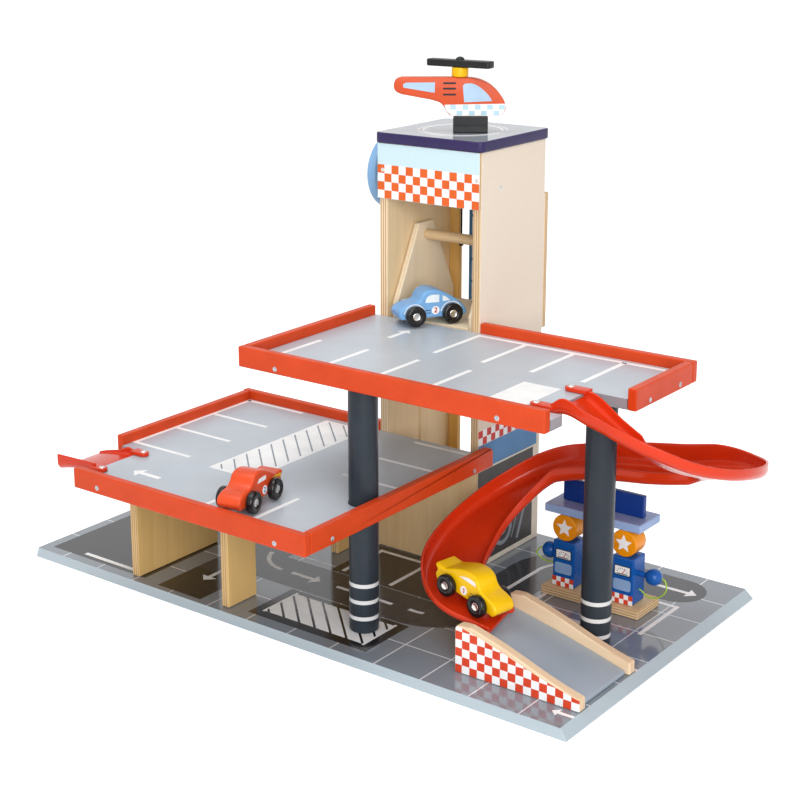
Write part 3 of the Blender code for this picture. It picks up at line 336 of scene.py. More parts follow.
# Each paint or print: its colour, its roughness and the weight of its clear coat.
PAINTS = {
    "rail red paint": ((0.640, 0.058, 0.008), 0.40, 0.06),
    "roof navy paint": ((0.030, 0.020, 0.090), 0.36, 0.12),
    "disc blue paint": ((0.25, 0.46, 0.74), 0.34, 0.20),
    "pump blue paint": ((0.004, 0.095, 0.400), 0.26, 0.35),
    "canopy blue paint": ((0.31, 0.44, 0.72), 0.34, 0.15),
    "sign blue paint": ((0.002, 0.036, 0.235), 0.34, 0.15),
    "dial orange paint": ((0.88, 0.30, 0.001), 0.28, 0.30),
    "car blue paint": ((0.190, 0.420, 0.740), 0.30, 0.30),
    "car red paint": ((0.730, 0.075, 0.016), 0.30, 0.30),
    "car yellow paint": ((0.960, 0.570, 0.001), 0.30, 0.20),
    "helicopter red paint": ((0.640, 0.075, 0.014), 0.36, 0.15),
    "mast yellow paint": ((0.86, 0.48, 0.001), 0.34, 0.15),
    "stand black paint": ((0.012, 0.013, 0.014), 0.38, 0.10),
    "print white": ((0.93, 0.94, 0.94), 0.40, 0.05),
    "print orange": ((0.780, 0.130, 0.020), 0.42, 0.05),
    "print red": ((0.600, 0.018, 0.016), 0.42, 0.05),
    "print black": ((0.014, 0.015, 0.017), 0.42, 0.05),
    "print road": ((0.045, 0.047, 0.055), 0.15, 0.9),
    "print bay": ((0.014, 0.014, 0.016), 0.15, 1.0),
    "print sky": ((0.47, 0.68, 0.80), 0.42, 0.05),
    "print blue": ((0.075, 0.23, 0.47), 0.42, 0.05),
    "print cream": ((0.80, 0.74, 0.62), 0.45, 0.0),
    "print dark": ((0.050, 0.045, 0.042), 0.45, 0.0),
    "print grey": ((0.26, 0.29, 0.33), 0.45, 0.0),
    "print pale screen": ((0.27, 0.42, 0.68), 0.35, 0.1),
    "print orange red": ((0.700, 0.060, 0.020), 0.42, 0.05),
    "print window blue": ((0.84, 0.91, 0.96), 0.35, 0.1),
    "print window grey": ((0.90, 0.91, 0.93), 0.35, 0.1),
    "print roof": ((0.33, 0.36, 0.41), 0.16, 0.6),
    "print glass blue": ((0.42, 0.58, 0.76), 0.35, 0.1),
    "string black": ((0.016, 0.016, 0.017), 0.75, 0.0),
}
PAINT = {name: painted(name, *values) for name, values in PAINTS.items()}
print(len(PAINT), "paints and prints")

# %% [markdown]
# ## Birch plywood
# The faces show a long pale grain with a few darker streaks. The sawn edges show the plies: thin layers,
# light and dark in turn. One group does both: it reads how far a point lies across the board, and a mask
# from the surface's own normal says whether it is a face or an edge.


# %% Plywood
PLY_PITCH = 0.00257


def plywood_grain():
    """Grain: noise drawn out along the board. Plies: a wave across its thickness, squared off, one dark ply
    and one light for each pitch of 2.57 mm."""
    sockets = [("Along", "f", 0.0), ("Side", "f", 0.0), ("Across", "f", 0.0)]
    tree, given, out = effect("Plywood", sockets, [("Grain", "f"), ("Streak", "f"), ("Plies", "f")])
    spot = add(
        tree, "ShaderNodeCombineXYZ", i0=given["Along"], i1=given["Side"], i2=given["Across"]
    ).outputs[0]
    fine = add(tree, "ShaderNodeMapping", vector=spot, scale=(14.0, 620.0, 620.0))
    fine = add(tree, "ShaderNodeTexNoise", vector=fine.outputs[0], scale=1.0, detail=4.0, roughness=0.65)
    broad = add(tree, "ShaderNodeMapping", vector=spot, scale=(7.0, 75.0, 75.0))
    broad = add(tree, "ShaderNodeTexNoise", vector=broad.outputs[0], scale=1.0, detail=3.0, distortion=0.6)
    wobble = add(tree, "ShaderNodeTexNoise", vector=spot, scale=60.0, detail=1.0)
    shift = maths(tree, "MULTIPLY", wobble.outputs[0], 1.2)
    turn = maths(tree, "MULTIPLY_ADD", given["Across"], 2 * math.pi / PLY_PITCH, shift)
    wave = maths(tree, "SINE", turn)
    tree.links.new(fine.outputs[0], out["Grain"])
    tree.links.new(
        add(tree, "ShaderNodeMapRange", i0=broad.outputs[0], i1=0.35, i2=0.72).outputs[0], out["Streak"]
    )
    tree.links.new(add(tree, "ShaderNodeMapRange", i0=wave, i1=-0.35, i2=0.35).outputs[0], out["Plies"])
    return tree


PLYWOOD = plywood_grain()


def birch_colour(
    tree, spot, across, along, pale=(0.86, 0.64, 0.37), deep=(0.64, 0.40, 0.17), glue=(0.50, 0.31, 0.16)
):
    """Colour, roughness and height of birch plywood: faces from the grain, edges from the plies."""
    axes = add(tree, "ShaderNodeSeparateXYZ", i0=spot).outputs
    side = ({0, 1, 2} - {across, along}).pop()
    ply = add(tree, "ShaderNodeGroup", node_tree=PLYWOOD)
    for slot, axis in enumerate((along, side, across)):
        tree.links.new(axes[axis], ply.inputs[slot])
    normal = normal_axes(tree)
    edge = maths(tree, "LESS_THAN", maths(tree, "ABSOLUTE", normal[across]), 0.6)
    face = mixed(tree, ply.outputs["Streak"], pale, tuple(p * 0.55 + d * 0.45 for p, d in zip(pale, deep)))
    face = mixed(tree, between(tree, ply.outputs["Grain"], -0.15, 0.55), face, deep)
    layers = mixed(tree, ply.outputs["Plies"], glue, tuple(min(0.95, p * 0.9 + 0.08) for p in pale))
    layers = mixed(tree, between(tree, ply.outputs["Grain"], -0.1, 0.6), layers, deep)
    colour = mixed(tree, edge, face, layers)
    rough = between(tree, ply.outputs["Grain"], 0.48, 0.62)
    return colour, rough, ply.outputs["Grain"]


def birch(name, across, along, **tones):
    """Clear lacquered birch plywood, with its thickness along one axis and its grain along another."""
    made, tree, shader, spot = blank(name)
    colour, rough, height = birch_colour(tree, spot, across, along, **tones)
    surface(tree, shader, colour, rough, height, 0.12)
    sheen(shader, 0.04, 0.3, 0.25)
    return made


BIRCH = {
    "front": birch("birch front", 1, 2),
    "cheek": birch(
        "birch cheek", 1, 0, pale=(0.90, 0.70, 0.48), deep=(0.76, 0.53, 0.32), glue=(0.72, 0.50, 0.30)
    ),
    "plinth": birch("birch plinth", 2, 0)
}
print("plywood:", sorted(BIRCH))


# %% Give the finishes to the boards that stay
def finish_nodes(finish, *names):
    """Puts a material in every slot of the named pieces."""
    for name in names:
        for slot in NODES[name].material_slots:
            slot.material = finish


# Painted shade: the walls under the lower deck get a darker, more saturated birch, the look that birch takes on
# in shade.
SHADE_SATURATED_WALL = birch("birch wall painted shade", 0, 2, pale=(0.80, 0.54, 0.22), deep=(0.62, 0.37, 0.12))
finish_nodes(SHADE_SATURATED_WALL, "bay_wall", "arch_wall")
# Painted light: the lift's plates and floor get a paler birch, the look that birch takes on where the light
# falls full on it.
LIFT_WOOD_PAINTED_LIGHT = {"pale": (0.95, 0.84, 0.66), "deep": (0.82, 0.64, 0.40), "glue": (0.84, 0.66, 0.44)}
finish_nodes(birch("lift wood painted light", 0, 2, **LIFT_WOOD_PAINTED_LIGHT), "lift_side_left", "lift_side_right")
finish_nodes(birch("lift floor wood painted light", 2, 1, **LIFT_WOOD_PAINTED_LIGHT), "lift_floor")
finish_nodes(BIRCH["front"], "tower_front_panel")
# Painted shade: the stile at the tower's back gets a deep, saturated orange birch, the look that birch takes on
# in the tower's shade.
STILE_WOOD_PAINTED_SHADE = birch(
    "stile wood painted shade", 1, 2, pale=(0.95, 0.60, 0.20), deep=(0.80, 0.44, 0.10), glue=(0.60, 0.32, 0.10)
)
finish_nodes(BIRCH["plinth"], "pump_base")
finish_nodes(BIRCH["cheek"], "ramp_cheek_back", "ramp_cheek_front")
RAILS = [name for name in NODES if "_rail_" in name]
finish_nodes(PAINT["rail red paint"], *RAILS)
finish_nodes(PAINT["pump blue paint"], "pump_body_left", "pump_body_right")
finish_nodes(PAINT["canopy blue paint"], "pump_canopy")
finish_nodes(PAINT["sign blue paint"], "pump_sign")
finish_nodes(PAINT["stand black paint"], "helicopter_stand")
print(len(RAILS), "rails painted")

# %% [markdown]
# ## Printed boards
# The decks and the base are boards with a printed grey sheet. The base's print has a fine pale grid. The
# grid is worked out from the place itself: the distance to the nearest line, against half the line's width.


# %% Printed sheets
GRID_FIRST, GRID_PITCH, GRID_LINE = (-0.0247, -0.0238), 0.0478, 0.0013


def near_line(tree, value, first, pitch, width):
    """1 on the lines of a ruling, where the value is less than half the width from its nearest line."""
    gone = maths(tree, "SUBTRACT", value, first - pitch / 2)
    off = maths(tree, "SUBTRACT", maths(tree, "FLOORED_MODULO", gone, pitch), pitch / 2)
    return maths(tree, "LESS_THAN", maths(tree, "ABSOLUTE", off), width / 2)


def printed_sheet(name, colour, edge_colour, grid=False, rough=0.34):
    """A printed grey board: slow clouds and a fine speckle on top, another tone on its edges."""
    made, tree, shader, spot = blank(name)
    skin = worn(tree, PAINT_SKIN, spot, 0.35)
    speck = add(tree, "ShaderNodeTexNoise", vector=spot, scale=2600.0, detail=1.0)
    tone = mixed(tree, skin.outputs["Mottle"], shade(colour, 0.92), shade(colour, 1.06))
    tone = mixed(tree, between(tree, speck.outputs[0], 0.0, 0.12), tone, shade(colour, 1.5))
    axes = add(tree, "ShaderNodeSeparateXYZ", i0=spot).outputs
    if grid:
        lines = maths(
            tree, "MAXIMUM",
            near_line(tree, axes[0], GRID_FIRST[0], GRID_PITCH, GRID_LINE),
            near_line(tree, axes[1], GRID_FIRST[1], GRID_PITCH, GRID_LINE),
        )
        tone = mixed(tree, maths(tree, "MULTIPLY", lines, 0.9), tone, (0.78, 0.82, 0.86))
    side = maths(tree, "LESS_THAN", normal_axes(tree)[2], 0.9)
    tone = mixed(tree, side, tone, edge_colour)
    gloss = between(tree, skin.outputs["Mottle"], rough + 0.05, rough - 0.04)
    surface(tree, shader, tone, gloss, skin.outputs["Peel"], 0.05)
    sheen(shader, *((0.5, 0.06) if grid else (0.12, 0.2)), None)
    return made


DECK = printed_sheet("deck print", (0.465, 0.515, 0.570), (0.30, 0.33, 0.36))
BASE_SHEET = printed_sheet("base print", (0.215, 0.250, 0.290), (0.40, 0.48, 0.53), True, 0.14)
finish_nodes(DECK, "lower_deck", "upper_deck")
finish_nodes(printed_sheet("ramp print", (0.34, 0.41, 0.48), (0.34, 0.41, 0.48)), "ramp_board")
print("decks printed")

# %% [markdown]
# ## Lines, arrows and roads
# The markings are drawn in millimetres as flat outlines and laid on their board as very thin closed slabs,
# a few hundredths of a millimetre proud, so that their edges stay crisp from any side and at any scale.


# %% Drawing tools
def bar(x0, y0, x1, y1, width):
    """A straight line's outline: both ends moved half the width to either side."""
    a, b = np.array([x0, y0], float), np.array([x1, y1], float)
    side = np.array([-(b - a)[1], (b - a)[0]]) / np.linalg.norm(b - a) * width / 2
    return np.array([a - side, b - side, b + side, a + side])


def block(x0, y0, x1, y1, corner=0.0, steps=6):
    """A rectangle's outline, with round corners of that radius."""
    if not corner:
        return np.array([(x0, y0), (x1, y0), (x1, y1), (x0, y1)], float)
    turn = np.linspace(0, math.pi / 2, steps + 1)
    ring = []
    left, low, right, high = x0 + corner, y0 + corner, x1 - corner, y1 - corner
    for k, (cx, cy) in enumerate(((right, high), (left, high), (left, low), (right, low))):
        a = turn + k * math.pi / 2
        ring.append(np.column_stack([cx + corner * np.cos(a), cy + corner * np.sin(a)]))
    return np.concatenate(ring)


def arrow(x, y, heading, length, width=4.6, head=9.0, half=8.6):
    """An arrow's outline from its tip back along its heading in degrees."""
    a = math.radians(heading)
    way, side = np.array([math.cos(a), math.sin(a)]), np.array([-math.sin(a), math.cos(a)])
    half_shape = [(-head, half), (-head, width / 2), (-length, width / 2)]
    shape = [(0, 0)] + half_shape + [(p, -q) for p, q in reversed(half_shape)]
    return np.array([np.array([x, y]) + p * way + q * side for p, q in shape])


def stripe(points, width):
    """A curved line's outline: its points moved half the width, out one side and back the other."""
    points = np.asarray(points, float)
    way = np.gradient(points, axis=0)
    way /= np.linalg.norm(way, axis=1)[:, None]
    side = np.column_stack([-way[:, 1], way[:, 0]]) * width / 2
    return np.concatenate([points + side, (points - side)[::-1]])


def turn_points(cx, cy, radius, start, end, steps=24):
    """Points on a circle between two angles in degrees."""
    a = np.radians(np.linspace(start, end, steps + 1))
    return np.column_stack([cx + radius * np.cos(a), cy + radius * np.sin(a)])


def ring_outlines(cx, cy, inner, outer, steps=48):
    """A ring as two half rings, since one outline can't have a hole."""
    middle = (inner + outer) / 2
    return [stripe(turn_points(cx, cy, middle, s, s + 180, steps // 2), outer - inner) for s in (0, 180)]


def clipped(outline, x0, y0, x1, y1):
    """A convex outline cut to a rectangle, one side at a time: points outside go, crossings are added."""
    ring = [tuple(p) for p in outline]
    for axis, limit, keep in ((0, x0, 1), (0, x1, -1), (1, y0, 1), (1, y1, -1)):
        kept = []
        for a, b in zip(ring, ring[1:] + ring[:1]):
            da, db = (a[axis] - limit) * keep, (b[axis] - limit) * keep
            if da >= 0:
                kept.append(a)
            if da * db < 0:
                t = da / (da - db)
                kept.append(tuple(p + t * (q - p) for p, q in zip(a, b)))
        ring = kept
    return np.array(ring)


def hatching(bars, *box):
    """Bars cut to a rectangle, without those that miss it."""
    return [cut for cut in (clipped(b, *box) for b in bars) if len(cut) > 2]


SUNK, STEP_UP = -0.04, 0.004


def markings(name, place, outlines, finish, body="garage", high=0.05):
    """All outlines of one colour on one board, as one mesh of thin closed slabs: a top, a bottom and a rim
    each. Slabs that follow each other differ a little in height, so that no two tops lie in one plane."""
    points, faces, start = [], [], 0
    for outline in outlines:
        n = len(outline)
        points += [lay(place, outline, high + STEP_UP * (start // 7 % 4)), lay(place, outline, SUNK)]
        ring = np.arange(n)
        after = (ring + 1) % n
        faces += [start + ring, start + n + ring[::-1]]
        faces += list(np.column_stack([start + ring, start + n + ring, start + n + after, start + after]))
        start += 2 * n
    return piece(name, np.concatenate(points), faces, finish, body, 20.0)


BASE_TOP = level_place(BASE_Z)
LOWER_TOP = level_place(LOWER_Z)
UPPER_TOP = level_place(UPPER_Z)
print("drawing tools ready")

# %% The base board
foot, top = block(-1, -2, 607, 332, 1.2, 4), block(0, 0, 600, 330, 0.8, 4)
count = len(top)
rings = [np.column_stack([ring, np.full(count, z)]) for ring, z in ((foot, 0.0), (foot, 1.2), (top, BASE_Z))]
base_faces = [list(f) for f in grid_faces(3, count)] + [list(range(count)), list(range(2 * count, 3 * count))]
base = piece("base_board_sheet", np.concatenate(rings), base_faces, BASE_SHEET, "garage", 30.0)
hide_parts("base_board")
print("base board made")

# %% Roads and bays on the base
centre = np.concatenate([
    [(213.3, 104.5), (300, 104.5), (380, 104.5)], turn_points(384, 144.5, 40, 270, 360),
    [(424, 200), (424, 249)], turn_points(464, 249, 40, 180, 90), [(520, 289), (551.5, 289)],
])
roads = [block(159.3, 60, 213.3, 300), stripe(centre, 53), turn_points(551.5, 289, 26.4, -90, 90, 24)]
markings("base_roads", BASE_TOP, roads, PAINT["print road"], high=0.03)
bays = [
    block(10.7, 10.7, 138, 150), block(159.3, 6.7, 213.3, 60), block(266, 13.3, 400, 76),
    block(266, 133, 400, 210)
]
markings("base_bays", BASE_TOP, bays, PAINT["print bay"], high=0.045)
HATCHED = (277, 24, 388.5, 69.3)
lines = [
    bar(49.3, 18.3, 132, 18.3, 4.8), arrow(185.3, 41, -90, 34), arrow(276, 105, 0, 35),
    bar(275, 199.3, 398, 199.3, 4.4), bar(277.3, 137.3, 277.3, 199, 4.2),
    bar(333.3, 137.3, 333.3, 199, 4.2), bar(389.3, 137.3, 389.3, 199, 4.2), bar(295.7, 105, 360, 105, 4.2),
    stripe(turn_points(384, 145, 40, 262, 285, 6), 4.2),
    stripe(turn_points(230, 143, 38.5, 196, 268, 20), 4.2), bar(424.3, 180, 424.3, 252, 4.2),
    stripe(turn_points(460, 252, 36, 180, 130, 14), 4.2), arrow(570.7, 289, 0, 44),
    bar(458.3, 187, 458.3, 257.2, 4.0), bar(568.3, 185, 568.3, 257.2, 4.0),
    bar(456.3, 255.2, 570.3, 255.2, 4.0), arrow(580, 21, 180, 20, 3.6, 6.0, 5.8),
    bar(590, 122.7, 601, 122.7, 4.0), block(486, 163, 517, 177), block(275, 22.7, 277.6, 71.7),
    block(388, 22.7, 390.7, 71.7), block(*HATCHED)
]
markings("base_lines", BASE_TOP, lines, PAINT["print white"], high=0.06)
hatch = hatching([bar(x - 70, 96, x + 70, -44, 2.2) for x in np.arange(262, 450, 17.8)], *HATCHED)
markings("base_hatch", BASE_TOP, hatch, PAINT["print bay"], high=0.09)
print("base:", len(roads) + len(bays) + len(lines) + len(hatch), "markings")

# %% Lines on the two decks
lines = [bar(97, 43.3, 97, 214, 4.4)] + [bar(96, y, 168.5, y, 4.4) for y in (45.5, 101.3, 155.5, 210.8)]
lines += [bar(312, y, 385, y, 4.4) for y in (94.5, 148.8, 205.5)]
lines += [bar(x, -50, x, 23, 4.4) for x in (265, 320, 375)]
lines += [arrow(154.5, -13.3, 180, 33, 5.0, 9.2, 9.0), block(202, 35.5, 255, 207.5)]
markings("lower_deck_lines", LOWER_TOP, lines, PAINT["print white"])
hatch = hatching(
    [bar(150, y + 76.5, 310, y - 83.5, 1.5) for y in np.arange(10, 260, 17.6)], 206, 39, 250.5, 204
)
markings("lower_deck_hatch", LOWER_TOP, hatch, PAINT["print grey"], high=0.08)
lines = [bar(381, 207.5, 584, 207.5, 4.8)] + [bar(x, 136, x, 208, 4.6) for x in (383, 433.8, 483, 532.5)]
lines += [bar(x, 34, x, 110, 4.6) for x in (276.3, 330, 385.5, 439.5)]
lines += [block(493.5, 34, 529, 108.8), arrow(320.8, 185, 90, 32, 5.0, 9.0, 7.5)]
markings("upper_deck_lines", UPPER_TOP, lines, PAINT["print white"])
print("decks: markings laid")

# %% [markdown]
# ## The slide
# A moulded channel sweeps out of the upper deck, round a wide bend, behind the right pillar and round again
# to the ramp. A channel like this is one cross-section carried along a line seen from above, while its
# height follows a curve of its own. The section is a closed loop, so the wall has its real thickness and a
# rounded rim.


# %% The slide's line
# Seen from above: the lane's start and end, each bend's middle x and half length, and the back run's y.
LANE_START, LANE_END = (550.3, 83.7), (502.1, 74.25)
FRONT_BEND, LOW_BEND, BACK_Y = (603.1, 51), (473.1, 57.5), 219
LANE_HALF, LANE_WALL, CURVE_OUT, CURVE_IN, RIM_POINTS = 27.6, 2.2, 9.0, 6.0, 7
# Then, as (share of the way, millimetres): the floor's height, the bank, and both walls' heights.
LANE_FALL = (
    (0, 241.2), (0.025, 230.4), (0.05, 220), (0.1, 203.8), (0.15, 194.1), (0.25, 176.9), (0.35, 160.2),
    (0.45, 146.4), (0.525, 139.9), (0.575, 133.6), (0.625, 123.5), (0.7, 98.6), (0.75, 80.6), (0.8, 63.6),
    (0.85, 55.9), (0.9, 51.9), (1, 43.3)
)
BANK = (
    (0, 0), (0.012, 7), (0.05, 18.7), (0.09, 25), (0.125, 20.5), (0.15, 15.3), (0.2, 10.8), (0.25, 9.6),
    (0.3, 7.6), (0.36, 3), (0.4, 0), (0.65, 0), (0.7, -1), (0.75, 2), (0.8, 5.2), (0.85, 4), (0.9, 1),
    (0.93, 0), (1, 0)
)
OUTER_WALL = (
    (0, 6.5), (0.014, 10.8), (0.05, 9.1), (0.1, 8.6), (0.2, 7.3), (0.25, 8.4), (0.3, 11), (0.35, 13.8),
    (0.4, 21.2), (0.45, 23.4), (0.55, 21.0), (0.65, 20.6), (0.7, 16.6), (0.75, 12.8), (0.825, 13.2),
    (0.875, 11.5), (0.925, 5.5), (1, 4.5)
)
INNER_WALL = ((0, 5.5), (0.014, 10), (0.06, 11), (0.12, 9.7), (0.85, 9.7), (0.95, 6), (1, 4.5))


def smooth(knots, share):
    """Values through knots: between two knots a cubic whose slopes are those of the chords beside them."""
    xs, ys = np.array(knots, float).T
    slopes = np.gradient(ys, xs)
    i = np.clip(np.searchsorted(xs, share) - 1, 0, len(xs) - 2)
    step = xs[i + 1] - xs[i]
    t = (share - xs[i]) / step
    rise = (1 + 2 * t) * (1 - t) ** 2 * ys[i] + t * (1 - t) ** 2 * step * slopes[i]
    return rise + t * t * (3 - 2 * t) * ys[i + 1] + t * t * (t - 1) * step * slopes[i + 1]


def lane_plan(steps):
    """Evenly spaced points of the line seen from above: straight, half an ellipse, straight, half an
    ellipse and straight again."""
    turn = np.linspace(-math.pi / 2, math.pi / 2, 240)
    (start_x, start_y), (end_x, end_y) = LANE_START, LANE_END
    (front_x, front_reach), (low_x, low_reach) = FRONT_BEND, LOW_BEND
    near, far = (BACK_Y - start_y) / 2, (BACK_Y - end_y) / 2
    parts = [
        np.linspace((start_x, start_y), (front_x, start_y), 60),
        np.column_stack([front_x + front_reach * np.cos(turn), start_y + near + near * np.sin(turn)])[1:],
        np.linspace((front_x, BACK_Y), (low_x, BACK_Y), 90)[1:],
        np.column_stack([low_x - low_reach * np.cos(turn), end_y + far - far * np.sin(turn)])[1:],
        np.linspace((low_x, end_y), (end_x, end_y), 40)[1:],
    ]
    way = np.concatenate(parts)
    gone = np.concatenate([[0], np.cumsum(np.linalg.norm(np.diff(way, axis=0), axis=1))])
    even = np.linspace(0, gone[-1], steps + 1)
    return np.column_stack([np.interp(even, gone, way[:, 0]), np.interp(even, gone, way[:, 1])])


def channel_loop(outer, inner):
    """The closed cross-section for every station at once, as (across, height). Inside: down the outer wall,
    a quarter round, the floor, a quarter round and up the inner wall. Outside: the same line moved out by
    the wall's thickness. Half rounds join them at the two rims."""
    outer, inner = outer[:, None], inner[:, None]
    r_out, r_in = np.minimum(CURVE_OUT, outer * 0.42), np.minimum(CURVE_IN, inner * 0.5)
    wall, reach = LANE_WALL, LANE_HALF - LANE_WALL
    top_out, top_in = outer - wall / 2, inner - wall / 2
    q = np.linspace(0, 1, 9)[None, :]
    a = q * math.pi / 2

    def line(radius_out, radius_in, edge, floor):
        """One side of the wall, whose rounds have these radii about the same centres."""
        down = np.stack([-edge + 0 * q + 0 * outer, top_out + (r_out - top_out) * q], -1)
        low = np.stack([-reach + r_out - radius_out * np.cos(a), r_out - radius_out * np.sin(a)], -1)
        flat = np.stack([(-reach + r_out) * (1 - q) + (reach - r_in) * q, floor + 0 * q + 0 * outer], -1)
        high = np.stack([reach - r_in + radius_in * np.sin(a), r_in - radius_in * np.cos(a)], -1)
        rise = np.stack([edge + 0 * q + 0 * outer, r_in + (top_in - r_in) * q], -1)
        return np.concatenate([down[:, :-1], low[:, :-1], flat[:, :-1], high[:, :-1], rise], 1)

    inside = line(r_out, r_in, reach, 0.0)
    outside = line(r_out + wall, r_in + wall, reach + wall, -wall)[:, ::-1]
    b = np.linspace(0, math.pi, RIM_POINTS + 2)[None, 1:-1]
    rim_in = np.stack(
        [reach + wall / 2 - wall / 2 * np.cos(b) + 0 * inner, top_in + wall / 2 * np.sin(b)], -1
    )
    rim_out = np.stack(
        [-reach - wall / 2 - wall / 2 * np.cos(b) + 0 * outer, top_out + wall / 2 * np.sin(b)], -1
    )
    return np.concatenate([inside, rim_in, outside, rim_out], 1)


def channel(name, plan, floor, outer, inner, finish, bank=0.0, slant=0.0):
    """Carries the section along the plan: across goes along the level normal of the line, height goes up.
    The bank lifts the outer side over the inner one, and the slant draws the inner side back. Each end is
    closed by strips from the inside to the outside, and by one face over each rim."""
    way = np.gradient(plan, axis=0)
    way /= np.linalg.norm(way, axis=1)[:, None]
    loop = channel_loop(outer, inner)
    across, height = loop[..., 0], loop[..., 1]
    inward = across / (2 * LANE_HALF) + 0.5
    rise = floor[:, None] + height + np.reshape(bank, (-1, 1)) * (1 - inward)
    points = np.stack([plan[:, :1] - across * way[:, 1:], plan[:, 1:] + across * way[:, :1], rise], -1)
    points[..., 0] -= np.reshape(slant, (-1, 1)) * inward
    rows, columns = across.shape
    faces = [list(f) for f in grid_faces(rows, columns)]
    last = (columns - 2 * RIM_POINTS) // 2
    end = 2 * last + RIM_POINTS - 1
    cap = [[k, k + 1, end - 1 - k, end - k] for k in range(last - 1)]
    cap += [list(range(last - 1, last + RIM_POINTS + 1)), list(range(end, columns)) + [0]]
    faces += cap + [[k + (rows - 1) * columns for k in face] for face in cap]
    return piece(name, points.reshape(-1, 3), faces, finish, "garage", 50.0)


def moulded(name, colour):
    """Glossy moulded plastic: an even colour that deepens a little, soft waves and faint scuffs."""
    made, tree, shader, spot = blank(name)
    skin, rub = worn(tree, PAINT_SKIN, spot, 0.4), worn(tree, SCUFFS, spot)
    tone = mixed(tree, skin.outputs["Mottle"], shade(colour, 0.9), colour)
    gloss = maths(
        tree, "MULTIPLY_ADD", rub.outputs[0], 0.10, between(tree, skin.outputs["Mottle"], 0.24, 0.17)
    )
    surface(tree, shader, tone, gloss, skin.outputs["Peel"], 0.06)
    sheen(shader, 0.05, 0.08, 0.24)
    return made


SLIDE_RED = moulded("slide red plastic", (0.700, 0.040, 0.007))
STEPS, SPLIT_SHARE = 360, 29 / 72
END_SLANT, SLANT_FROM, SLANT_OVER = 12, 0.955, 0.045
plan = lane_plan(STEPS)
share = np.linspace(0, 1, STEPS + 1)
floor, bank = smooth(LANE_FALL, share), smooth(BANK, share)
outer, inner = smooth(OUTER_WALL, share), smooth(INNER_WALL, share)
slant = END_SLANT * np.clip((share - SLANT_FROM) / SLANT_OVER, 0, 1)
split = round(SPLIT_SHARE * STEPS)
HALVES = {"slide_upper": slice(0, split + 1), "slide_lower": slice(split, None)}
for name, s in HALVES.items():
    half = channel(name + "_half", plan[s], floor[s], outer[s], inner[s], SLIDE_RED, bank[s], slant[s])
    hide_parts(name)
    print(name, len(half.data.polygons), "faces")

# %% The exit chute
t = np.linspace(0, 1, 25)
chute_plan = np.column_stack([123.1 - 50 * t, np.full_like(t, -5.0)])
chute_floor = LOWER_Z - LANE_WALL - 7 * t * t
far_wall = 4.0 + 3.6 * np.exp(-((t - 0.22) / 0.16) ** 2) - 2.2 * t
near_wall = 132.8 - 1.5 * t - chute_floor
chute = channel("exit_chute_shell", chute_plan, chute_floor, far_wall, near_wall, SLIDE_RED)
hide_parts("exit_chute")
print("chute made")

# %% [markdown]
# ## Boards with eased edges
# Cars, helicopter, roof and rotor are cut from a board, and their edges are rounded over. Such a board is
# rings of points: the outline drawn in a little on one face, swelling to its full size round the edge, and
# drawn in again on the other face. The faces close the first and last ring.


# %% Eased boards
def smooth_outline(knots, steps=7):
    """A closed outline through knots. Each stretch is a cubic Bezier whose handles point along the mean
    direction of the two chords at the knot, as long as the chord divided by 2.56. A knot with a third value
    is a corner, whose handles lie on the chords."""
    spots = np.array([k[:2] for k in knots], float)
    corner = np.array([len(k) > 2 for k in knots])
    before, after = np.roll(spots, 1, 0), np.roll(spots, -1, 0)
    back, ahead = np.linalg.norm(spots - before, axis=1), np.linalg.norm(after - spots, axis=1)
    mean = (spots - before) / back[:, None] + (after - spots) / ahead[:, None]
    mean /= np.linalg.norm(mean, axis=1)[:, None] * 2.5614
    out_handle = np.where(corner[:, None], spots + (after - spots) / 3, spots + mean * ahead[:, None])
    in_handle = np.where(corner[:, None], spots + (before - spots) / 3, spots - mean * back[:, None])
    t = (np.arange(steps) / steps)[None, :, None]
    a, b = spots[:, None], out_handle[:, None]
    c, d = np.roll(in_handle, -1, 0)[:, None], after[:, None]
    curve = (1 - t) ** 3 * a + 3 * (1 - t) ** 2 * t * b + 3 * (1 - t) * t * t * c + t ** 3 * d
    return curve.reshape(-1, 2)


def inset(outline, amount):
    """The outline moved inwards along the normals at its points; the outline runs anticlockwise."""
    before, after = outline - np.roll(outline, 1, 0), np.roll(outline, -1, 0) - outline
    mean = np.zeros_like(outline)
    for way in (before, after):
        length = np.maximum(np.linalg.norm(way, axis=1), 1e-9)
        mean += np.column_stack([-way[:, 1], way[:, 0]]) / length[:, None]
    length = np.maximum((mean * mean).sum(1) / 2, 0.6)
    return outline + mean / length[:, None] * amount


def eased_board(name, outline, thick, ease, place, finish, body, rings=5):
    """Rings from one face to the other: drawn in by ease times (1 - sine), standing off by half the
    thickness less ease times (1 - cosine)."""
    outline = np.asarray(outline, float)
    area = (outline[:, 0] * np.roll(outline[:, 1], -1) - np.roll(outline[:, 0], -1) * outline[:, 1]).sum()
    if area < 0:
        outline = outline[::-1]
    a = np.linspace(0, math.pi / 2, rings + 1)
    inwards, outwards = ease * (1 - np.sin(a)), thick / 2 - ease * (1 - np.cos(a))
    draw = np.concatenate([inwards, inwards[::-1]])
    stand = np.concatenate([outwards, -outwards[::-1]])
    loops = [lay(place, inset(outline, d), s) for d, s in zip(draw, stand)]
    n = len(outline)
    faces = [list(f) for f in grid_faces(len(loops), n)]
    faces += [list(range(n)), list(range((len(loops) - 1) * n, len(loops) * n))]
    return piece(name, np.concatenate(loops), faces, finish, body, 40.0)


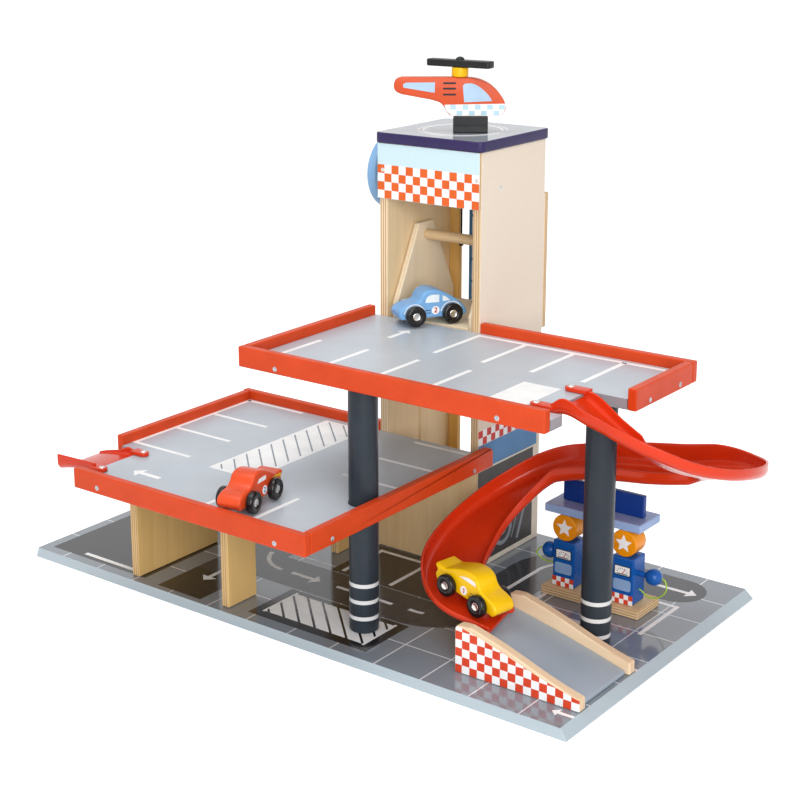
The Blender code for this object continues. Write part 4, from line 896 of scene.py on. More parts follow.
def turned(name, profile, origin, axis, finish, body, steps=64, angle=35.0):
    """A turned piece: each (radius, height) of the profile becomes a ring about the axis."""
    axis = np.array(axis, float) / np.linalg.norm(axis)
    side = np.cross(axis, (0, 0, 1) if abs(axis[2]) < 0.9 else (1, 0, 0))
    side /= np.linalg.norm(side)
    other = np.cross(axis, side)
    profile = np.array(profile, float)
    a = np.arange(steps) * 2 * math.pi / steps
    rim = np.cos(a)[:, None] * side + np.sin(a)[:, None] * other
    points = np.array(origin) + profile[:, 1, None, None] * axis + profile[:, 0, None, None] * rim
    return piece(name, points.reshape(-1, 3), grid_faces(len(profile), steps), finish, body, angle)


def rounded_end(radius, height, ease):
    """A profile's round corner: from the flat end out and over to the side, a quarter circle."""
    a = np.linspace(0, math.pi / 2, 6)
    return [(radius - ease + ease * math.sin(b), height - ease + ease * math.cos(b)) for b in a]


def drum(radius, low, high, ease):
    """A plain drum's profile with both rims eased."""
    top = rounded_end(radius, high, ease)
    return [(0, high)] + top + [(r, low + high - h) for r, h in reversed(top)] + [(0, low)]


print("board and turning tools ready")

# %% [markdown]
# ## Pillars, disc, dowels and roof
# These are turned or sawn. The pillars carry three painted rings near the foot, worked out from the height.


# %% Pillars
RING_HEIGHTS, RING_HALF = (0.0232, 0.0385, 0.0537), 0.0018


def ringed_paint():
    """The pillar's grey with three pale rings: white where the height lies inside a ring's band."""
    made, tree, shader, spot = blank("ringed pillar paint")
    skin = worn(tree, PAINT_SKIN, spot, 0.8)
    height = add(tree, "ShaderNodeSeparateXYZ", i0=spot).outputs[2]
    bands = [
        maths(tree, "LESS_THAN", maths(tree, "ABSOLUTE", maths(tree, "SUBTRACT", height, z)), RING_HALF)
        for z in RING_HEIGHTS
    ]
    ring = maths(tree, "MAXIMUM", maths(tree, "MAXIMUM", bands[0], bands[1]), bands[2])
    tone = mixed(tree, skin.outputs["Mottle"], (0.024, 0.032, 0.043), (0.034, 0.043, 0.055))
    tone = mixed(tree, ring, tone, (0.74, 0.75, 0.75))
    surface(tree, shader, tone, between(tree, skin.outputs["Mottle"], 0.36, 0.26), skin.outputs["Peel"], 0.1)
    shader.inputs["Specular IOR Level"].default_value = 0.18
    return made


RINGED = ringed_paint()
for name, x, y in (("pillar_left", 370.5, 49.8), ("pillar_right", 550.2, 139.8)):
    pillar = turned(name + "_turned", drum(13, 9.3, 234.1, 1.4), (x, y, 0), (0, 0, 1), RINGED, "garage", 72)
    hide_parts(name)
WIND_Y, WIND_Z = 267.85, 374.0
WINDING = (0, WIND_Y, WIND_Z)
disc_profile = drum(36, 235, 245, 2.4)
disc = turned("winding_disc_turned", disc_profile, WINDING, (1, 0, 0), PAINT["disc blue paint"], "winder", 96)
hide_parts("winding_disc")
print("turned: two pillars and the disc")


# %% Dowels
def dowel_wood():
    """Straight grained beech along X."""
    made, tree, shader, spot = blank("dowel wood")
    grain = add(tree, "ShaderNodeMapping", vector=spot, scale=(25.0, 700.0, 700.0))
    grain = add(tree, "ShaderNodeTexNoise", vector=grain.outputs[0], scale=1.0, detail=4.0)
    tone = mixed(tree, between(tree, grain.outputs[0], 0.0, 0.9), (0.82, 0.62, 0.38), (0.60, 0.38, 0.18))
    surface(tree, shader, tone, between(tree, grain.outputs[0], 0.42, 0.58), grain.outputs[0], 0.1)
    return made


DOWEL = dowel_wood()
axle = turned("winding_axle_turned", drum(5, 245.3, 374.5, 0.4), WINDING, (1, 0, 0), DOWEL, "winder", 40)
bar_piece = turned(
    "lift_bar_turned", drum(5, 280.8, 361.7, 0.4), (0, WIND_Y, 316), (1, 0, 0), DOWEL, "lift", 40
)
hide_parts("winding_axle")
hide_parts("lift_bar")
print("dowels turned")

# %% Roof
ROOF_THICK = 9.7
ROOF_TOP = level_place(ROOF_Z)
ROOF_MIDDLE = level_place(ROOF_Z - ROOF_THICK / 2)
roof = eased_board(
    "roof_board", block(261.2, 210.2, 381.3, 326.4, 6, 8), ROOF_THICK, 1.2, ROOF_MIDDLE,
    PAINT["roof navy paint"], "garage"
)
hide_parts("tower_roof")
markings("roof_print", ROOF_TOP, [block(262.6, 211.6, 379.9, 325, 5, 8)], PAINT["print roof"], high=0.03)
rings = [
    half
    for inner, outer in ((35.4, 38.4), (40.6, 42.2))
    for half in ring_outlines(321.5, 268, inner, outer, 96)
]
markings("roof_rings", ROOF_TOP, rings, PAINT["print white"], high=0.06)
print("roof made")

# %% [markdown]
# ## The tower's print
# The front header has a pale blue band over a checker, and the right side is a cream sheet whose foot
# carries a small checker, a blue band and a dark field with plain grey shapes. A board with a printed
# ladder closes part of the back, beside a bare stile.


# %% Header and side prints
def cells(x0, y0, columns, rows, size, first=0):
    """Every other cell of a checker, from its lower left corner."""
    return [
        block(x0 + i * size, y0 + j * size, x0 + (i + 1) * size, y0 + (j + 1) * size)
        for j in range(rows) for i in range(columns) if (i + j + first) % 2 == 0
    ]


def half_printed(name, axis, sign, print_colour, across, along, **tones):
    """Plywood whose one face carries a printed sheet: the sheet shows where the normal points that way."""
    made, tree, shader, spot = blank(name)
    colour, rough, height = birch_colour(tree, spot, across, along, **tones)
    printed = maths(tree, "GREATER_THAN", maths(tree, "MULTIPLY", normal_axes(tree)[axis], sign), 0.9)
    speck = add(tree, "ShaderNodeTexNoise", vector=spot, scale=350.0, detail=3.0)
    sheet_tone = mixed(tree, speck.outputs[0], shade(print_colour, 0.97), shade(print_colour, 1.03))
    surface(tree, shader, mixed(tree, printed, colour, sheet_tone), rough, height, 0.06)
    return made


# The paler birch tones for the left side's inner face are painted light: birch made paler where the light falls
# full on it.
CREAM_SHEET, PLY_PAINTED_LIGHT = (0.84, 0.725, 0.60), {"pale": (0.94, 0.76, 0.50), "deep": (0.76, 0.54, 0.28)}
finish_nodes(half_printed("tower side print", 0, 1, CREAM_SHEET, 0, 2), "tower_side_right")
finish_nodes(half_printed("tower left print", 0, -1, CREAM_SHEET, 0, 2, **PLY_PAINTED_LIGHT), "tower_side_left")
finish_nodes(half_printed("header print", 1, -1, (0.62, 0.80, 0.86), 1, 2), "tower_header")
WHITE_BOARD = half_printed("back board print", 1, -1, (0.90, 0.92, 0.94), 1, 2)
print("tower's boards finished")

# %% The boards at the tower's back
(_, board_y0, board_z0), (board_x1, board_y1, board_z1) = world_box("tower_back_board")
board_middle = upright_place(0, (board_y0 + board_y1) / 2, 0)
board_outline = block(292.0, board_z0, board_x1, board_z1, 1, 3)
back_board = eased_board(
    "tower_ladder_board", board_outline, board_y1 - board_y0, 0.5, board_middle, WHITE_BOARD, "garage"
)
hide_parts("tower_back_board")
LADDER = upright_place(0, board_y0, 0)
ladder = [block(x, board_z0 + 4, x + 3.2, board_z1 - 4) for x in (292.6, 310.0)]
ladder += [block(295.8, z, 310.0, z + 2.6) for z in np.arange(board_z0 + 12, board_z1 - 8, 22.0)]
markings("tower_ladder", LADDER, ladder, PAINT["print blue"], high=0.04)
(stile_x0, stile_y0, stile_z0), (_, stile_y1, stile_z1) = world_box("tower_back_stile")
stile_middle = upright_place(0, (stile_y0 + stile_y1) / 2, 0)
stile_outline = block(stile_x0, stile_z0, 284.4, stile_z1, 0.8, 3)
stile = eased_board(
    "tower_stile_board", stile_outline, stile_y1 - stile_y0, 0.6, stile_middle, STILE_WOOD_PAINTED_SHADE, "garage"
)
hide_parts("tower_back_stile")
print("ladder board and stile made")

# %% The prints on the header and on the side
HEADER = upright_place(264, 211.6, 0)
CELL = 114.5 / 14
orange = [
    block(i * CELL, 358 + j * 8.0, (i + 1) * CELL, 366 + j * 8.0)
    for j in range(4) for i in range(14) if (i + j) % 2 == 1
]
orange = [np.clip(cell, (0.3, 358.3), (114.2, 390)) for cell in orange]
markings("header_white", HEADER, [block(0.3, 358.3, 114.2, 390)], PAINT["print white"], high=0.03)
markings("header_checker", HEADER, orange, PAINT["print orange"], high=0.06)
SIDE = frame_of((378.5, 214.9, 0), (0, 1, 0), (0, 0, 1))
markings("side_checker_white", SIDE, [block(0.4, 133.5, 103, 147.7)], PAINT["print white"], high=0.03)
reds = [np.clip(cell, (0.4, 133.5), (103, 147.7)) for cell in cells(0.3, 133.5, 15, 2, 7.1, 1)]
markings("side_checker", SIDE, reds, PAINT["print red"], high=0.06)
markings("side_band", SIDE, [block(0.4, 109, 103, 133.2)], PAINT["print blue"], high=0.03)
markings(
    "side_lines", SIDE, [block(0.4, 107.2, 103, 109), block(0.4, 10.5, 98, 15)], PAINT["print cream"],
    high=0.04
)
markings("side_picture", SIDE, [block(0.4, 15, 97, 107.2)], PAINT["print dark"], high=0.03)
motifs = ring_outlines(44, 38, 12, 16.5) + ring_outlines(44, 38, 4.5, 6.5)
motifs += [bar(70, 20, 88, 62, 4.0), bar(60, 24, 78, 66, 1.6)]
motifs += [bar(14, z, 30, z, 3.0) for z in (22, 30, 38)]
motifs += [block(10, 88, 40, 91), block(52, 84, 86, 87), block(60, 76, 66, 84), block(72, 76, 78, 84)]
markings("side_motifs", SIDE, motifs, PAINT["print grey"], high=0.06)
print("tower printed")

# %% [markdown]
# ## Lugs and screws
# The slide and the chute hang on lugs, short moulded bars with a round end and a screw through each. A
# screw head is a low dome with a cross sunk in it, worked out on a round grid: the height falls towards the
# rim and drops again wherever a point lies inside the cross.


# %% Lugs
LUG_WIDE, LUG_THICK, LUG_Z = 10.0, 3.5, 243.7


def lug(name, x, y, z, heading, length=22.0):
    """A bar with one round end, from its root along its heading."""
    a = math.radians(heading)
    place = frame_of((x, y, z + LUG_THICK / 2), (math.cos(a), math.sin(a), 0), (-math.sin(a), math.cos(a), 0))
    end = turn_points(length - LUG_WIDE / 2, 0, LUG_WIDE / 2, -90, 90, 16)
    outline = np.concatenate([[(0, LUG_WIDE / 2), (0, -LUG_WIDE / 2)], end])
    return eased_board(name, outline, LUG_THICK, 0.8, place, SLIDE_RED, "garage")


lug("slide_lug_front", 554.3, LANE_START[1] - 26.6, LUG_Z, 180)
lug("slide_lug_back", 554.3, LANE_START[1] + 26.6, LUG_Z, 180)
lug("slide_lug_low", 472.6, 97.35, 41.1, 0)
lug("chute_lug_front", 119.1, -31.6, 127.2, 0, 18.0)
lug("chute_lug_back", 119.1, 21.6, 127.2, 0, 18.0)
print("five lugs")


# %% Screws
def metal(name, colour, rough):
    """Brushed metal: the roughness wanders with fine noise."""
    made, tree, shader, spot = blank(name)
    noise = add(tree, "ShaderNodeTexNoise", vector=spot, scale=700.0, detail=3.0)
    tone = mixed(tree, noise.outputs[0], shade(colour, 0.85), colour)
    surface(
        tree, shader, tone, between(tree, noise.outputs[0], rough - 0.06, rough + 0.10), noise.outputs[0],
        0.08
    )
    shader.inputs["Metallic"].default_value = 1.0
    return made


STEEL = metal("zinc steel", (0.72, 0.71, 0.69), 0.30)
DARK_STEEL = metal("dull steel", (0.50, 0.52, 0.55), 0.35)


def screw_heads(name, places, radius, high, body, finish=STEEL):
    """Cross-head screws as one piece. Height over the rim: high times the root of (1 - the radius squared),
    less a cross whose depth fades out at its arms' ends."""
    rings, steps = 14, 48
    r = np.linspace(0, 1, rings)[:, None]
    a = np.linspace(0, 2 * math.pi, steps, endpoint=False)[None, :]
    x, y = r * np.cos(a), r * np.sin(a)
    dome = high * np.sqrt(np.clip(1 - 0.92 * r * r, 0, 1)) + 0 * a
    arms = np.minimum(np.abs(x), np.abs(y))
    reach = np.maximum(np.abs(x), np.abs(y))
    sunk = np.clip((0.17 - arms) / 0.05, 0, 1) * np.clip((0.60 - reach) / 0.15, 0, 1)
    top = dome - 0.75 * high * sunk
    top[0] = top[0].mean()
    flat = np.stack([x * radius, y * radius], -1)
    points, faces = [], []
    skirt = np.stack([x[-1] * radius, y[-1] * radius], -1)
    for n, place in enumerate(places):
        start = n * (rings + 1) * steps
        points += [lay(place, flat, top).reshape(-1, 3), lay(place, skirt, np.full(steps, -0.2))]
        faces += list(start + grid_faces(rings + 1, steps))
        faces.append(start + rings * steps + np.arange(steps))
    return piece(name, np.concatenate(points), faces, finish, body, 50.0)


def facing(point, normal, turn):
    """A place to lay a screw on: at the point, facing along the normal, turned a little."""
    n = np.array(normal, float)
    u = np.cross((0, 0, 1) if abs(n[2]) < 0.9 else (1, 0, 0), n)
    u /= np.linalg.norm(u)
    v = np.cross(n, u)
    return frame_of(point, u * math.cos(turn) + v * math.sin(turn), v * math.cos(turn) - u * math.sin(turn))


UPWARDS, FORWARDS, RIGHTWARDS = (0, 0, 1), (0, -1, 0), (1, 0, 0)
LUG_TOP = LUG_Z + LUG_THICK
FRONT_SCREWS = ((153.5, -58.8, 123.5), (362.1, -58.8, 122.3), (293.6, 25.1, 238.7), (521.3, 25.1, 238.8))
RIGHT_SCREWS = ((394.5, -23.0, 122.8), (394.5, 184.8, 121.4), (593.1, 192.4, 238.8), (593.1, 140.3, 238.3))
SLIDE_SCREWS = (((537.3, 57.1, LUG_TOP), 0.3), ((537.3, 110.3, LUG_TOP), 0.9), ((489.6, 97.35, 44.6), 0.6))
CHUTE_SCREWS = (((132.1, -31.6, 130.7), 0.3), ((132.1, 21.6, 130.7), 0.7))
screw_heads("slide_screws", [facing(spot, UPWARDS, turn) for spot, turn in SLIDE_SCREWS], 2.9, 1.1, "garage")
screw_heads("chute_screws", [facing(spot, UPWARDS, turn) for spot, turn in CHUTE_SCREWS], 2.9, 1.1, "garage")
screw_heads("deck_screw", [facing((245, 179, LOWER_Z), UPWARDS, 0.5)], 2.8, 0.6, "garage")
screw_heads(
    "header_screws", [facing((x, 211.6, 385), FORWARDS, x) for x in (270.2, 375.4)], 2.0, 0.6, "garage"
)
screw_heads("tower_screws", [facing((378.5, 247, 374), RIGHTWARDS, 0.4)], 2.4, 0.6, "garage")
for side_name, normal, spots in (("front", FORWARDS, FRONT_SCREWS), ("right", RIGHTWARDS, RIGHT_SCREWS)):
    places = [facing(spot, normal, k) for k, spot in enumerate(spots)]
    screw_heads("rail_screws_" + side_name, places, 2.3, 0.6, "garage", DARK_STEEL)
print("screws driven")

# %% [markdown]
# ## The ramp
# The near cheek carries a checker of small squares that the cheek's curved top edge cuts off. Each square
# is drawn with its upper edge held under the curve.


# %% Ramp checker
CHEEK_X, CHEEK_END, CHEEK_HIGH, CHEEK_LOW = 480.6, 600, 52.3, 20.2
ROUND_X, ROUND_Z, ROUND_SQUARED, UNDER_EDGE = 485.6, 46.8, 25, 0.9


def ramp_line(x):
    """Height of the cheek's top edge: a straight fall with a slow wave, rounded off at its high end."""
    share = (x - CHEEK_X) / (CHEEK_END - CHEEK_X)
    line = CHEEK_HIGH + (CHEEK_LOW - CHEEK_HIGH) * share + 0.9 * np.sin(2 * math.pi * share)
    rise = np.clip(ROUND_SQUARED - (np.minimum(x, ROUND_X) - ROUND_X) ** 2, 0, ROUND_SQUARED)
    return np.minimum(line, np.where(x < ROUND_X, ROUND_Z + np.sqrt(rise), 99))


def under_ramp(x0, x1, z0, z1, steps=6):
    """The outline of a square with its top held a little under the curve, or None where nothing is left."""
    x = np.linspace(x0, x1, steps)
    top = np.minimum(z1, ramp_line(x) - UNDER_EDGE)
    if top.max() < z0 + 0.4:
        return None
    top = np.maximum(top, z0 + 0.02)
    return np.concatenate([[(x0, z0), (x1, z0)], np.column_stack([x, top])[::-1]])


CHEEK = upright_place(0, 29.5, 0)
SQUARE, FIRST_X, FIRST_Z, CHEEK_Z = 7.45, 481.5, 9.7, 9.3
sheet_print = under_ramp(FIRST_X, 599.8, FIRST_Z, 60, 80)
reds = [
    under_ramp(
        max(FIRST_X, CHEEK_X + i * SQUARE), CHEEK_X + (i + 1) * SQUARE,
        max(FIRST_Z, CHEEK_Z + j * SQUARE), CHEEK_Z + (j + 1) * SQUARE,
    )
    for j in range(6) for i in range(16) if (i + j) % 2 == 0
]
markings("ramp_sheet", CHEEK, [sheet_print], PAINT["print white"], high=0.03)
markings(
    "ramp_checker", CHEEK, [square for square in reds if square is not None], PAINT["print orange red"],
    high=0.06
)
print("ramp printed")

# %% [markdown]
# ## Fuel pumps
# Each pump is a painted block with a round dial on top. The dial is a turned disc with a printed star, and
# the block carries a gauge, a screen and two rows of checker. The nozzles are painted balls on pegs.


# %% Dials and nozzles
STAR_RADIUS, STAR_SHARE = 8.6, 0.47
PEG_SEAT, PEG_R, BALL_R, BALL_Z = 9.0, 2.6, 7.75, 46.5


def star():
    """A five-pointed star, one point up: ten points, by turns at the radius and at a share of it."""
    a = np.radians(90 + 36 * np.arange(10))
    r = np.where(np.arange(10) % 2 == 0, STAR_RADIUS, STAR_RADIUS * STAR_SHARE)
    return np.column_stack([r * np.cos(a), r * np.sin(a)])


def ball_on_peg(out):
    """The nozzle's profile along its peg: from the peg's inner end out to the neck, then round the ball."""
    length = out + PEG_SEAT
    neck = math.asin(PEG_R / BALL_R)
    a = np.linspace(-math.pi / 2 + neck, math.pi / 2, 22)
    ball = [(BALL_R * math.cos(b), length + BALL_R * math.sin(b)) for b in a[:-1]]
    return [(0, 0), (PEG_R, 0)] + ball + [(0, length + BALL_R)]


# Each pump: its middle's x, the side that its nozzle is on, and how far out the ball stands.
PUMPS = {"left": (473.5, -1, 8.8), "right": (534.0, 1, 14.4)}
PUMP_HALF, PUMP_FRONT, PUMP_MIDDLE = 11.25, 214.0, 225.0
DIAL_FRONT, DIAL_Z = 214.5, 75.3
for side_name, (x, side, out) in PUMPS.items():
    face = x + side * PUMP_HALF
    nozzle = turned(
        f"nozzle_{side_name}_turned", ball_on_peg(out), (face - side * PEG_SEAT, PUMP_MIDDLE, BALL_Z),
        (side, 0, 0), PAINT["pump blue paint"], f"nozzle_{side_name}_peg", 40,
    )
    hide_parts("nozzle_" + side_name)
    dial = turned(
        f"pump_dial_{side_name}_turned", drum(12.5, 0, 19, 1.2), (x, DIAL_FRONT, DIAL_Z), (0, 1, 0),
        PAINT["dial orange paint"], "garage", 72,
    )
    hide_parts("pump_dial_" + side_name)
    markings("pump_star_" + side_name, upright_place(x, DIAL_FRONT, DIAL_Z), [star()], PAINT["print white"])
print("dials and nozzles made")

# %% Prints on the pumps
GAUGE_Z, TICK_OUT, TICK_IN = 46.4, 6.2, 4.9
ticks = [
    bar(
        TICK_OUT * math.cos(a), GAUGE_Z + TICK_OUT * math.sin(a), TICK_IN * math.cos(a),
        GAUGE_Z + TICK_IN * math.sin(a), 0.5
    )
    for a in np.radians(np.linspace(25, 155, 7))
]
checks = [
    block(-11.25 + i * 4.5, 18.1 + j * 4.65, -6.75 + i * 4.5, 22.75 + j * 4.65)
    for j in range(2) for i in range(5) if (i + j) % 2 == 1
]
checks = [np.clip(check, (-11.1, 18.4), (11.1, 27.4)) for check in checks]
PUMP_PRINTS = {
    "gauge_frame": ([block(-8.4, 44.9, 8.4, 54.6, 1.2)], "print black", 0.04),
    "gauge": ([block(-7.4, 45.8, 7.4, 53.7, 0.8)], "print white", 0.07),
    "ticks": (ticks + [block(-5.5, 46.2, 5.5, 47.0)], "print black", 0.1),
    "needle": ([bar(0, 46.6, 2.6, 51.2, 0.7)], "print red", 0.13),
    "screen": ([block(-8.8, 30.8, 8.8, 41.4, 2.4)], "print pale screen", 0.04),
    "sheet": ([block(-11.1, 18.4, 11.1, 27.4)], "print white", 0.03),
    "checker": (checks, "print orange red", 0.06),
}
for side_name, (x, _, _) in PUMPS.items():
    front = upright_place(x, PUMP_FRONT, 0)
    for name, (outlines, ink, high) in PUMP_PRINTS.items():
        markings(f"pump_{name}_{side_name}", front, outlines, PAINT[ink], high=high)
print("pumps printed")

# %% [markdown]
# ## Hoses
# A hose is a thin green cord that leaves its nozzle's ball, drops under its own weight and goes back into
# the pump. The points lie on the line that such a cord takes, given as how far out from the pump
# and how far below the ball each lies, and a cubic through them gives the curve.

# %% Hoses
HOSE_STEPS = {
    "left": (
        (18.1, 0.1), (20.7, 1.6), (23.4, 5.6), (22.0, 8.8), (19.7, 10.4), (15.8, 11.8), (11.8, 12.3),
        (7.8, 12.1), (3.8, 11.5), (1.3, 11.2)
    ),
    "right": (
        (23.6, 0.1), (25.6, 1.6), (26.8, 5.0), (27.0, 8.4), (25.7, 12.0), (22.6, 15.8), (18.2, 18.9),
        (14.0, 20.3), (9.8, 20.2), (6.0, 18.6), (3.2, 16.4), (1.3, 15.4)
    )
}
HOSE_RADIUS, HOSE_GAP, HOSE_POINTS = 0.0007, 0.3, 31


def rubber(name, colour):
    """Matte coloured rubber: the tone and the gloss wander a little along the cord."""
    made, tree, shader, spot = blank(name)
    noise = add(tree, "ShaderNodeTexNoise", vector=spot, scale=420.0, detail=3.0)
    tone = mixed(tree, noise.outputs[0], shade(colour, 0.82), colour)
    surface(tree, shader, tone, between(tree, noise.outputs[0], 0.45, 0.60), noise.outputs[0], 0.1)
    return made


HOSE_GREEN = rubber("hose green", (0.42, 0.66, 0.05))
for side_name, (x, side, out) in PUMPS.items():
    steps = HOSE_STEPS[side_name]
    knots = np.array([(out + BALL_R + HOSE_GAP, 0.0), *steps, (HOSE_GAP, steps[-1][1])])
    share = np.linspace(0, 1, len(knots))
    fine = np.linspace(0, 1, HOSE_POINTS)
    outs, drops = (smooth(np.column_stack([share, column]), fine) for column in knots.T)
    face = x + side * PUMP_HALF
    route = world(np.column_stack([face + side * outs, np.full(HOSE_POINTS, PUMP_MIDDLE), BALL_Z - drops]))
    line = bpy.data.curves.new("hose_" + side_name + "_cord", "CURVE")
    line.dimensions = "3D"
    line.bevel_depth = HOSE_RADIUS
    line.bevel_resolution = 5
    line.use_fill_caps = True
    run = line.splines.new("POLY")
    run.points.add(len(route) - 1)
    run.points.foreach_set("co", np.column_stack([route, np.ones(HOSE_POINTS)]).ravel())
    run.use_smooth = True
    line.materials.append(HOSE_GREEN)
    hose = bpy.data.objects.new("hose_" + side_name + "_cord", line)
    bpy.context.scene.collection.objects.link(hose)
    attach(hose, "garage")
    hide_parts("hose_" + side_name)

# %% [markdown]
# ## Cars
# Each car is a body sawn from one thick board, with eased edges, and two turned wheel sets. The windows,
# the round number field and the lines are printed on both sides. A car has its own flat frame: forward, up,
# and the ground under its middle.

# %% Car bodies
# Each car: the ground under its middle, its heading and how far its nose dips, in degrees.
CARS = {
    "blue": ((317.4, 219.5, 244.3), 238, 0),
    "red": ((294.6, -12.0, 127.2), 281, 0),
    "yellow": ((466.8, 75.6, 52.2), -11, 11),
}
COUPE = (
    (-34, 0, 1), (33.5, 0, 1), (36.8, 4.5), (35.6, 9.2), (28, 13.2), (18.5, 14.9), (13.8, 16.6), (10.2, 23),
    (4, 26.6), (-5, 26), (-15, 21.6), (-25, 15.4), (-33, 8.8), (-36, 3.5)
)
RACER = (
    (-34, 0, 1), (33.5, 0, 1), (36.8, 5), (34.3, 10.5), (27, 13.5), (20, 14.6), (15.5, 17.3), (10.5, 23.3),
    (3.5, 25.6), (-5, 24.6), (-14, 21.2), (-22, 17.2), (-26.5, 14.9, 1), (-37.3, 14.8, 1), (-38, 12.5),
    (-35.5, 9.5), (-36.6, 5)
)
HALF_WIDTH, UNDER, WHEEL_R, AXLE_X = 11.6, 6.2, 9.8, 18.5


def trimmed(knots, nose, tail):
    """The outline with its ends drawn in: past each axle, by the share of the way to that end."""
    return [
        (k[0] - nose * max(0.0, k[0] - AXLE_X) / 18.3 + tail * max(0.0, -AXLE_X - k[0]) / 17.5, *k[1:])
        for k in knots
    ]


OUTLINES = {"blue": trimmed(COUPE, 3.4, 1.4), "red": RACER, "yellow": RACER}


def car_place(colour, rise=0.0):
    """The car's frame: u forward and nose down by the pitch, v up, at a height over the ground."""
    origin, heading, pitch = CARS[colour]
    h, p = math.radians(heading), math.radians(pitch)
    u = np.array([math.cos(h) * math.cos(p), math.sin(h) * math.cos(p), -math.sin(p)])
    v = np.array([math.cos(h) * math.sin(p), math.sin(h) * math.sin(p), math.cos(p)])
    return frame_of(np.array(origin) + v * rise, u, v)


for colour, knots in OUTLINES.items():
    body = eased_board(
        colour + "_car_board", smooth_outline(knots, 9), 2 * HALF_WIDTH, 2.2, car_place(colour, UNDER),
        PAINT[f"car {colour} paint"], colour + "_car", 7,
    )
    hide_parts(colour + "_car_body")
print("three car bodies")


# %% Wheels
HUB_FACE = 16.6


def wheel_profile():
    """Both wheels and the axle between them, as (radius, height): a dish, a rounded tyre, then the axle."""
    a = np.linspace(0, math.pi / 2, 7)
    outer = [(0, HUB_FACE), (3.7, HUB_FACE), (4.4, 17.7), (5.2, 18.05)]
    tyre = [(7.6 + 2.2 * math.sin(b), 16.0 + 2.2 * math.cos(b)) for b in a]
    heel = [(8.6 + 1.2 * math.cos(b), 13.2 - 1.2 * math.sin(b)) for b in a]
    half = outer + tyre + heel + [(1.9, 12.0), (1.55, 11.6)]
    return half + [(r, -h) for r, h in reversed(half)]


WHEEL_BLACK = painted("wheel black lacquer", (0.010, 0.009, 0.009), 0.20, 0.6)
HUB_METAL = metal("hub metal", (0.80, 0.78, 0.74), 0.16)
dish = [(3.35 * math.sin(b), 0.9 - 0.65 * math.cos(b)) for b in np.linspace(0.15, 1.45, 8)]
HUB = [(0, 0.25)] + dish + [(3.6, 0.7), (3.6, 0.0)]
for colour in CARS:
    _, u, _, n = car_place(colour)
    for end, name in ((1, "front"), (-1, "rear")):
        hub = car_place(colour, WHEEL_R)[0] + u * end * AXLE_X
        body = f"{colour}_wheels_{name}"
        wheels = turned(f"{colour}_{name}_wheelset", wheel_profile(), hub, n, WHEEL_BLACK, body, 56)
        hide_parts(f"{colour}_car_wheels_{name}")
        for side, label in ((1, "right"), (-1, "left")):
            face = hub + n * side * HUB_FACE
            turned(f"{colour}_{name}_hub_{label}", HUB, face, n * side, HUB_METAL, body, 32)
print("six wheel sets")


# %% Prints on the cars
def digit(which, cx, cy, high, width):
    """The numeral 1 or 2 as stroked outlines about its middle."""
    s = high / 2
    if which == 1:
        stem = bar(cx + 0.1 * s, cy - s, cx + 0.1 * s, cy + s, width)
        return [stem, bar(cx - 0.45 * s, cy + 0.5 * s, cx + 0.1 * s, cy + 0.95 * s, width * 0.8)]
    foot = cy - s + width / 2
    arc_part = turn_points(cx, cy + 0.45 * s, 0.5 * s, 160, -40, 14)
    tail = np.linspace(arc_part[-1], (cx - 0.5 * s, foot), 6)[1:]
    return [
        stripe(np.concatenate([arc_part, tail]), width),
        bar(cx - 0.58 * s, foot, cx + 0.62 * s, foot, width)
    ]


def car_sides(colour):
    """Both flat sides of a car: which way each faces, its name, and the place to draw on it."""
    origin, u, v, n = car_place(colour, UNDER)
    for side, label in ((1, "right"), (-1, "left")):
        yield side, label, frame_of(origin + n * side * HALF_WIDTH, u * side, v)


def mirrored(outlines, side):
    """Outlines given nose along +x: on the left side x is turned round."""
    return [np.asarray(outline, float) * (side, 1) for outline in outlines]


def on_both_sides(name, colour, finish, outlines):
    """Lays outlines on both sides of a car, nose to nose."""
    for side, label, place in car_sides(colour):
        markings(f"{colour}_{name}_{label}", place, mirrored(outlines, side), finish, colour + "_car")


def number_field(colour, which, x, z, radius, ink):
    """A white disc with a numeral that reads the right way round on both sides."""
    on_both_sides("field", colour, PAINT["print white"], [turn_points(x, z, radius, 0, 360, 36)[:-1]])
    for side, label, place in car_sides(colour):
        numeral = digit(which, x * side, z, 4.6, 1.0)
        markings(f"{colour}_numeral_{label}", place, numeral, ink, colour + "_car", high=0.09)


on_both_sides(
    "windows", "blue", PAINT["print window blue"],
    [
        smooth_outline(
            ((7.6, 14.9, 1), (7.0, 18.2), (5.0, 21.0), (0.9, 22.2, 1), (-6.3, 21.7, 1), (-6.1, 14.7, 1)), 5
        ),
        smooth_outline(((-9.6, 15.3, 1), (-9.5, 20.8, 1), (-13.1, 19.1), (-17.2, 15.4, 1)), 5)
    ]
)
on_both_sides(
    "windows", "red", PAINT["print window grey"], [[(6.6, 15.4), (3.1, 19.1), (-8.2, 19.2), (-8.2, 15.2)]]
)
on_both_sides(
    "windows", "yellow", PAINT["print white"],
    [
        smooth_outline(
            ((-8.6, 17.1, 1), (-0.4, 20.2), (5.7, 20.8), (9.8, 19.9), (11.3, 17.0, 1), (2.5, 17.0, 1)), 5
        )
    ]
)
number_field("blue", 2, -2.6, 7.1, 3.9, PAINT["print red"])
number_field("red", 2, -5.8, 6.3, 4.0, PAINT["print blue"])
number_field("yellow", 1, -1.3, 6.8, 4.0, PAINT["print red"])
on_both_sides(
    "lines", "blue", PAINT["print black"], [bar(7.8, 7.6, 2.3, 7.4, 0.7), bar(6.9, 5.0, 2.0, 5.0, 0.7)]
)
on_both_sides(
    "lines", "yellow", PAINT["print black"], [bar(4.8, 5.7, 7.8, 5.8, 0.7), bar(6.0, 8.4, 9.8, 8.5, 0.7)]
)
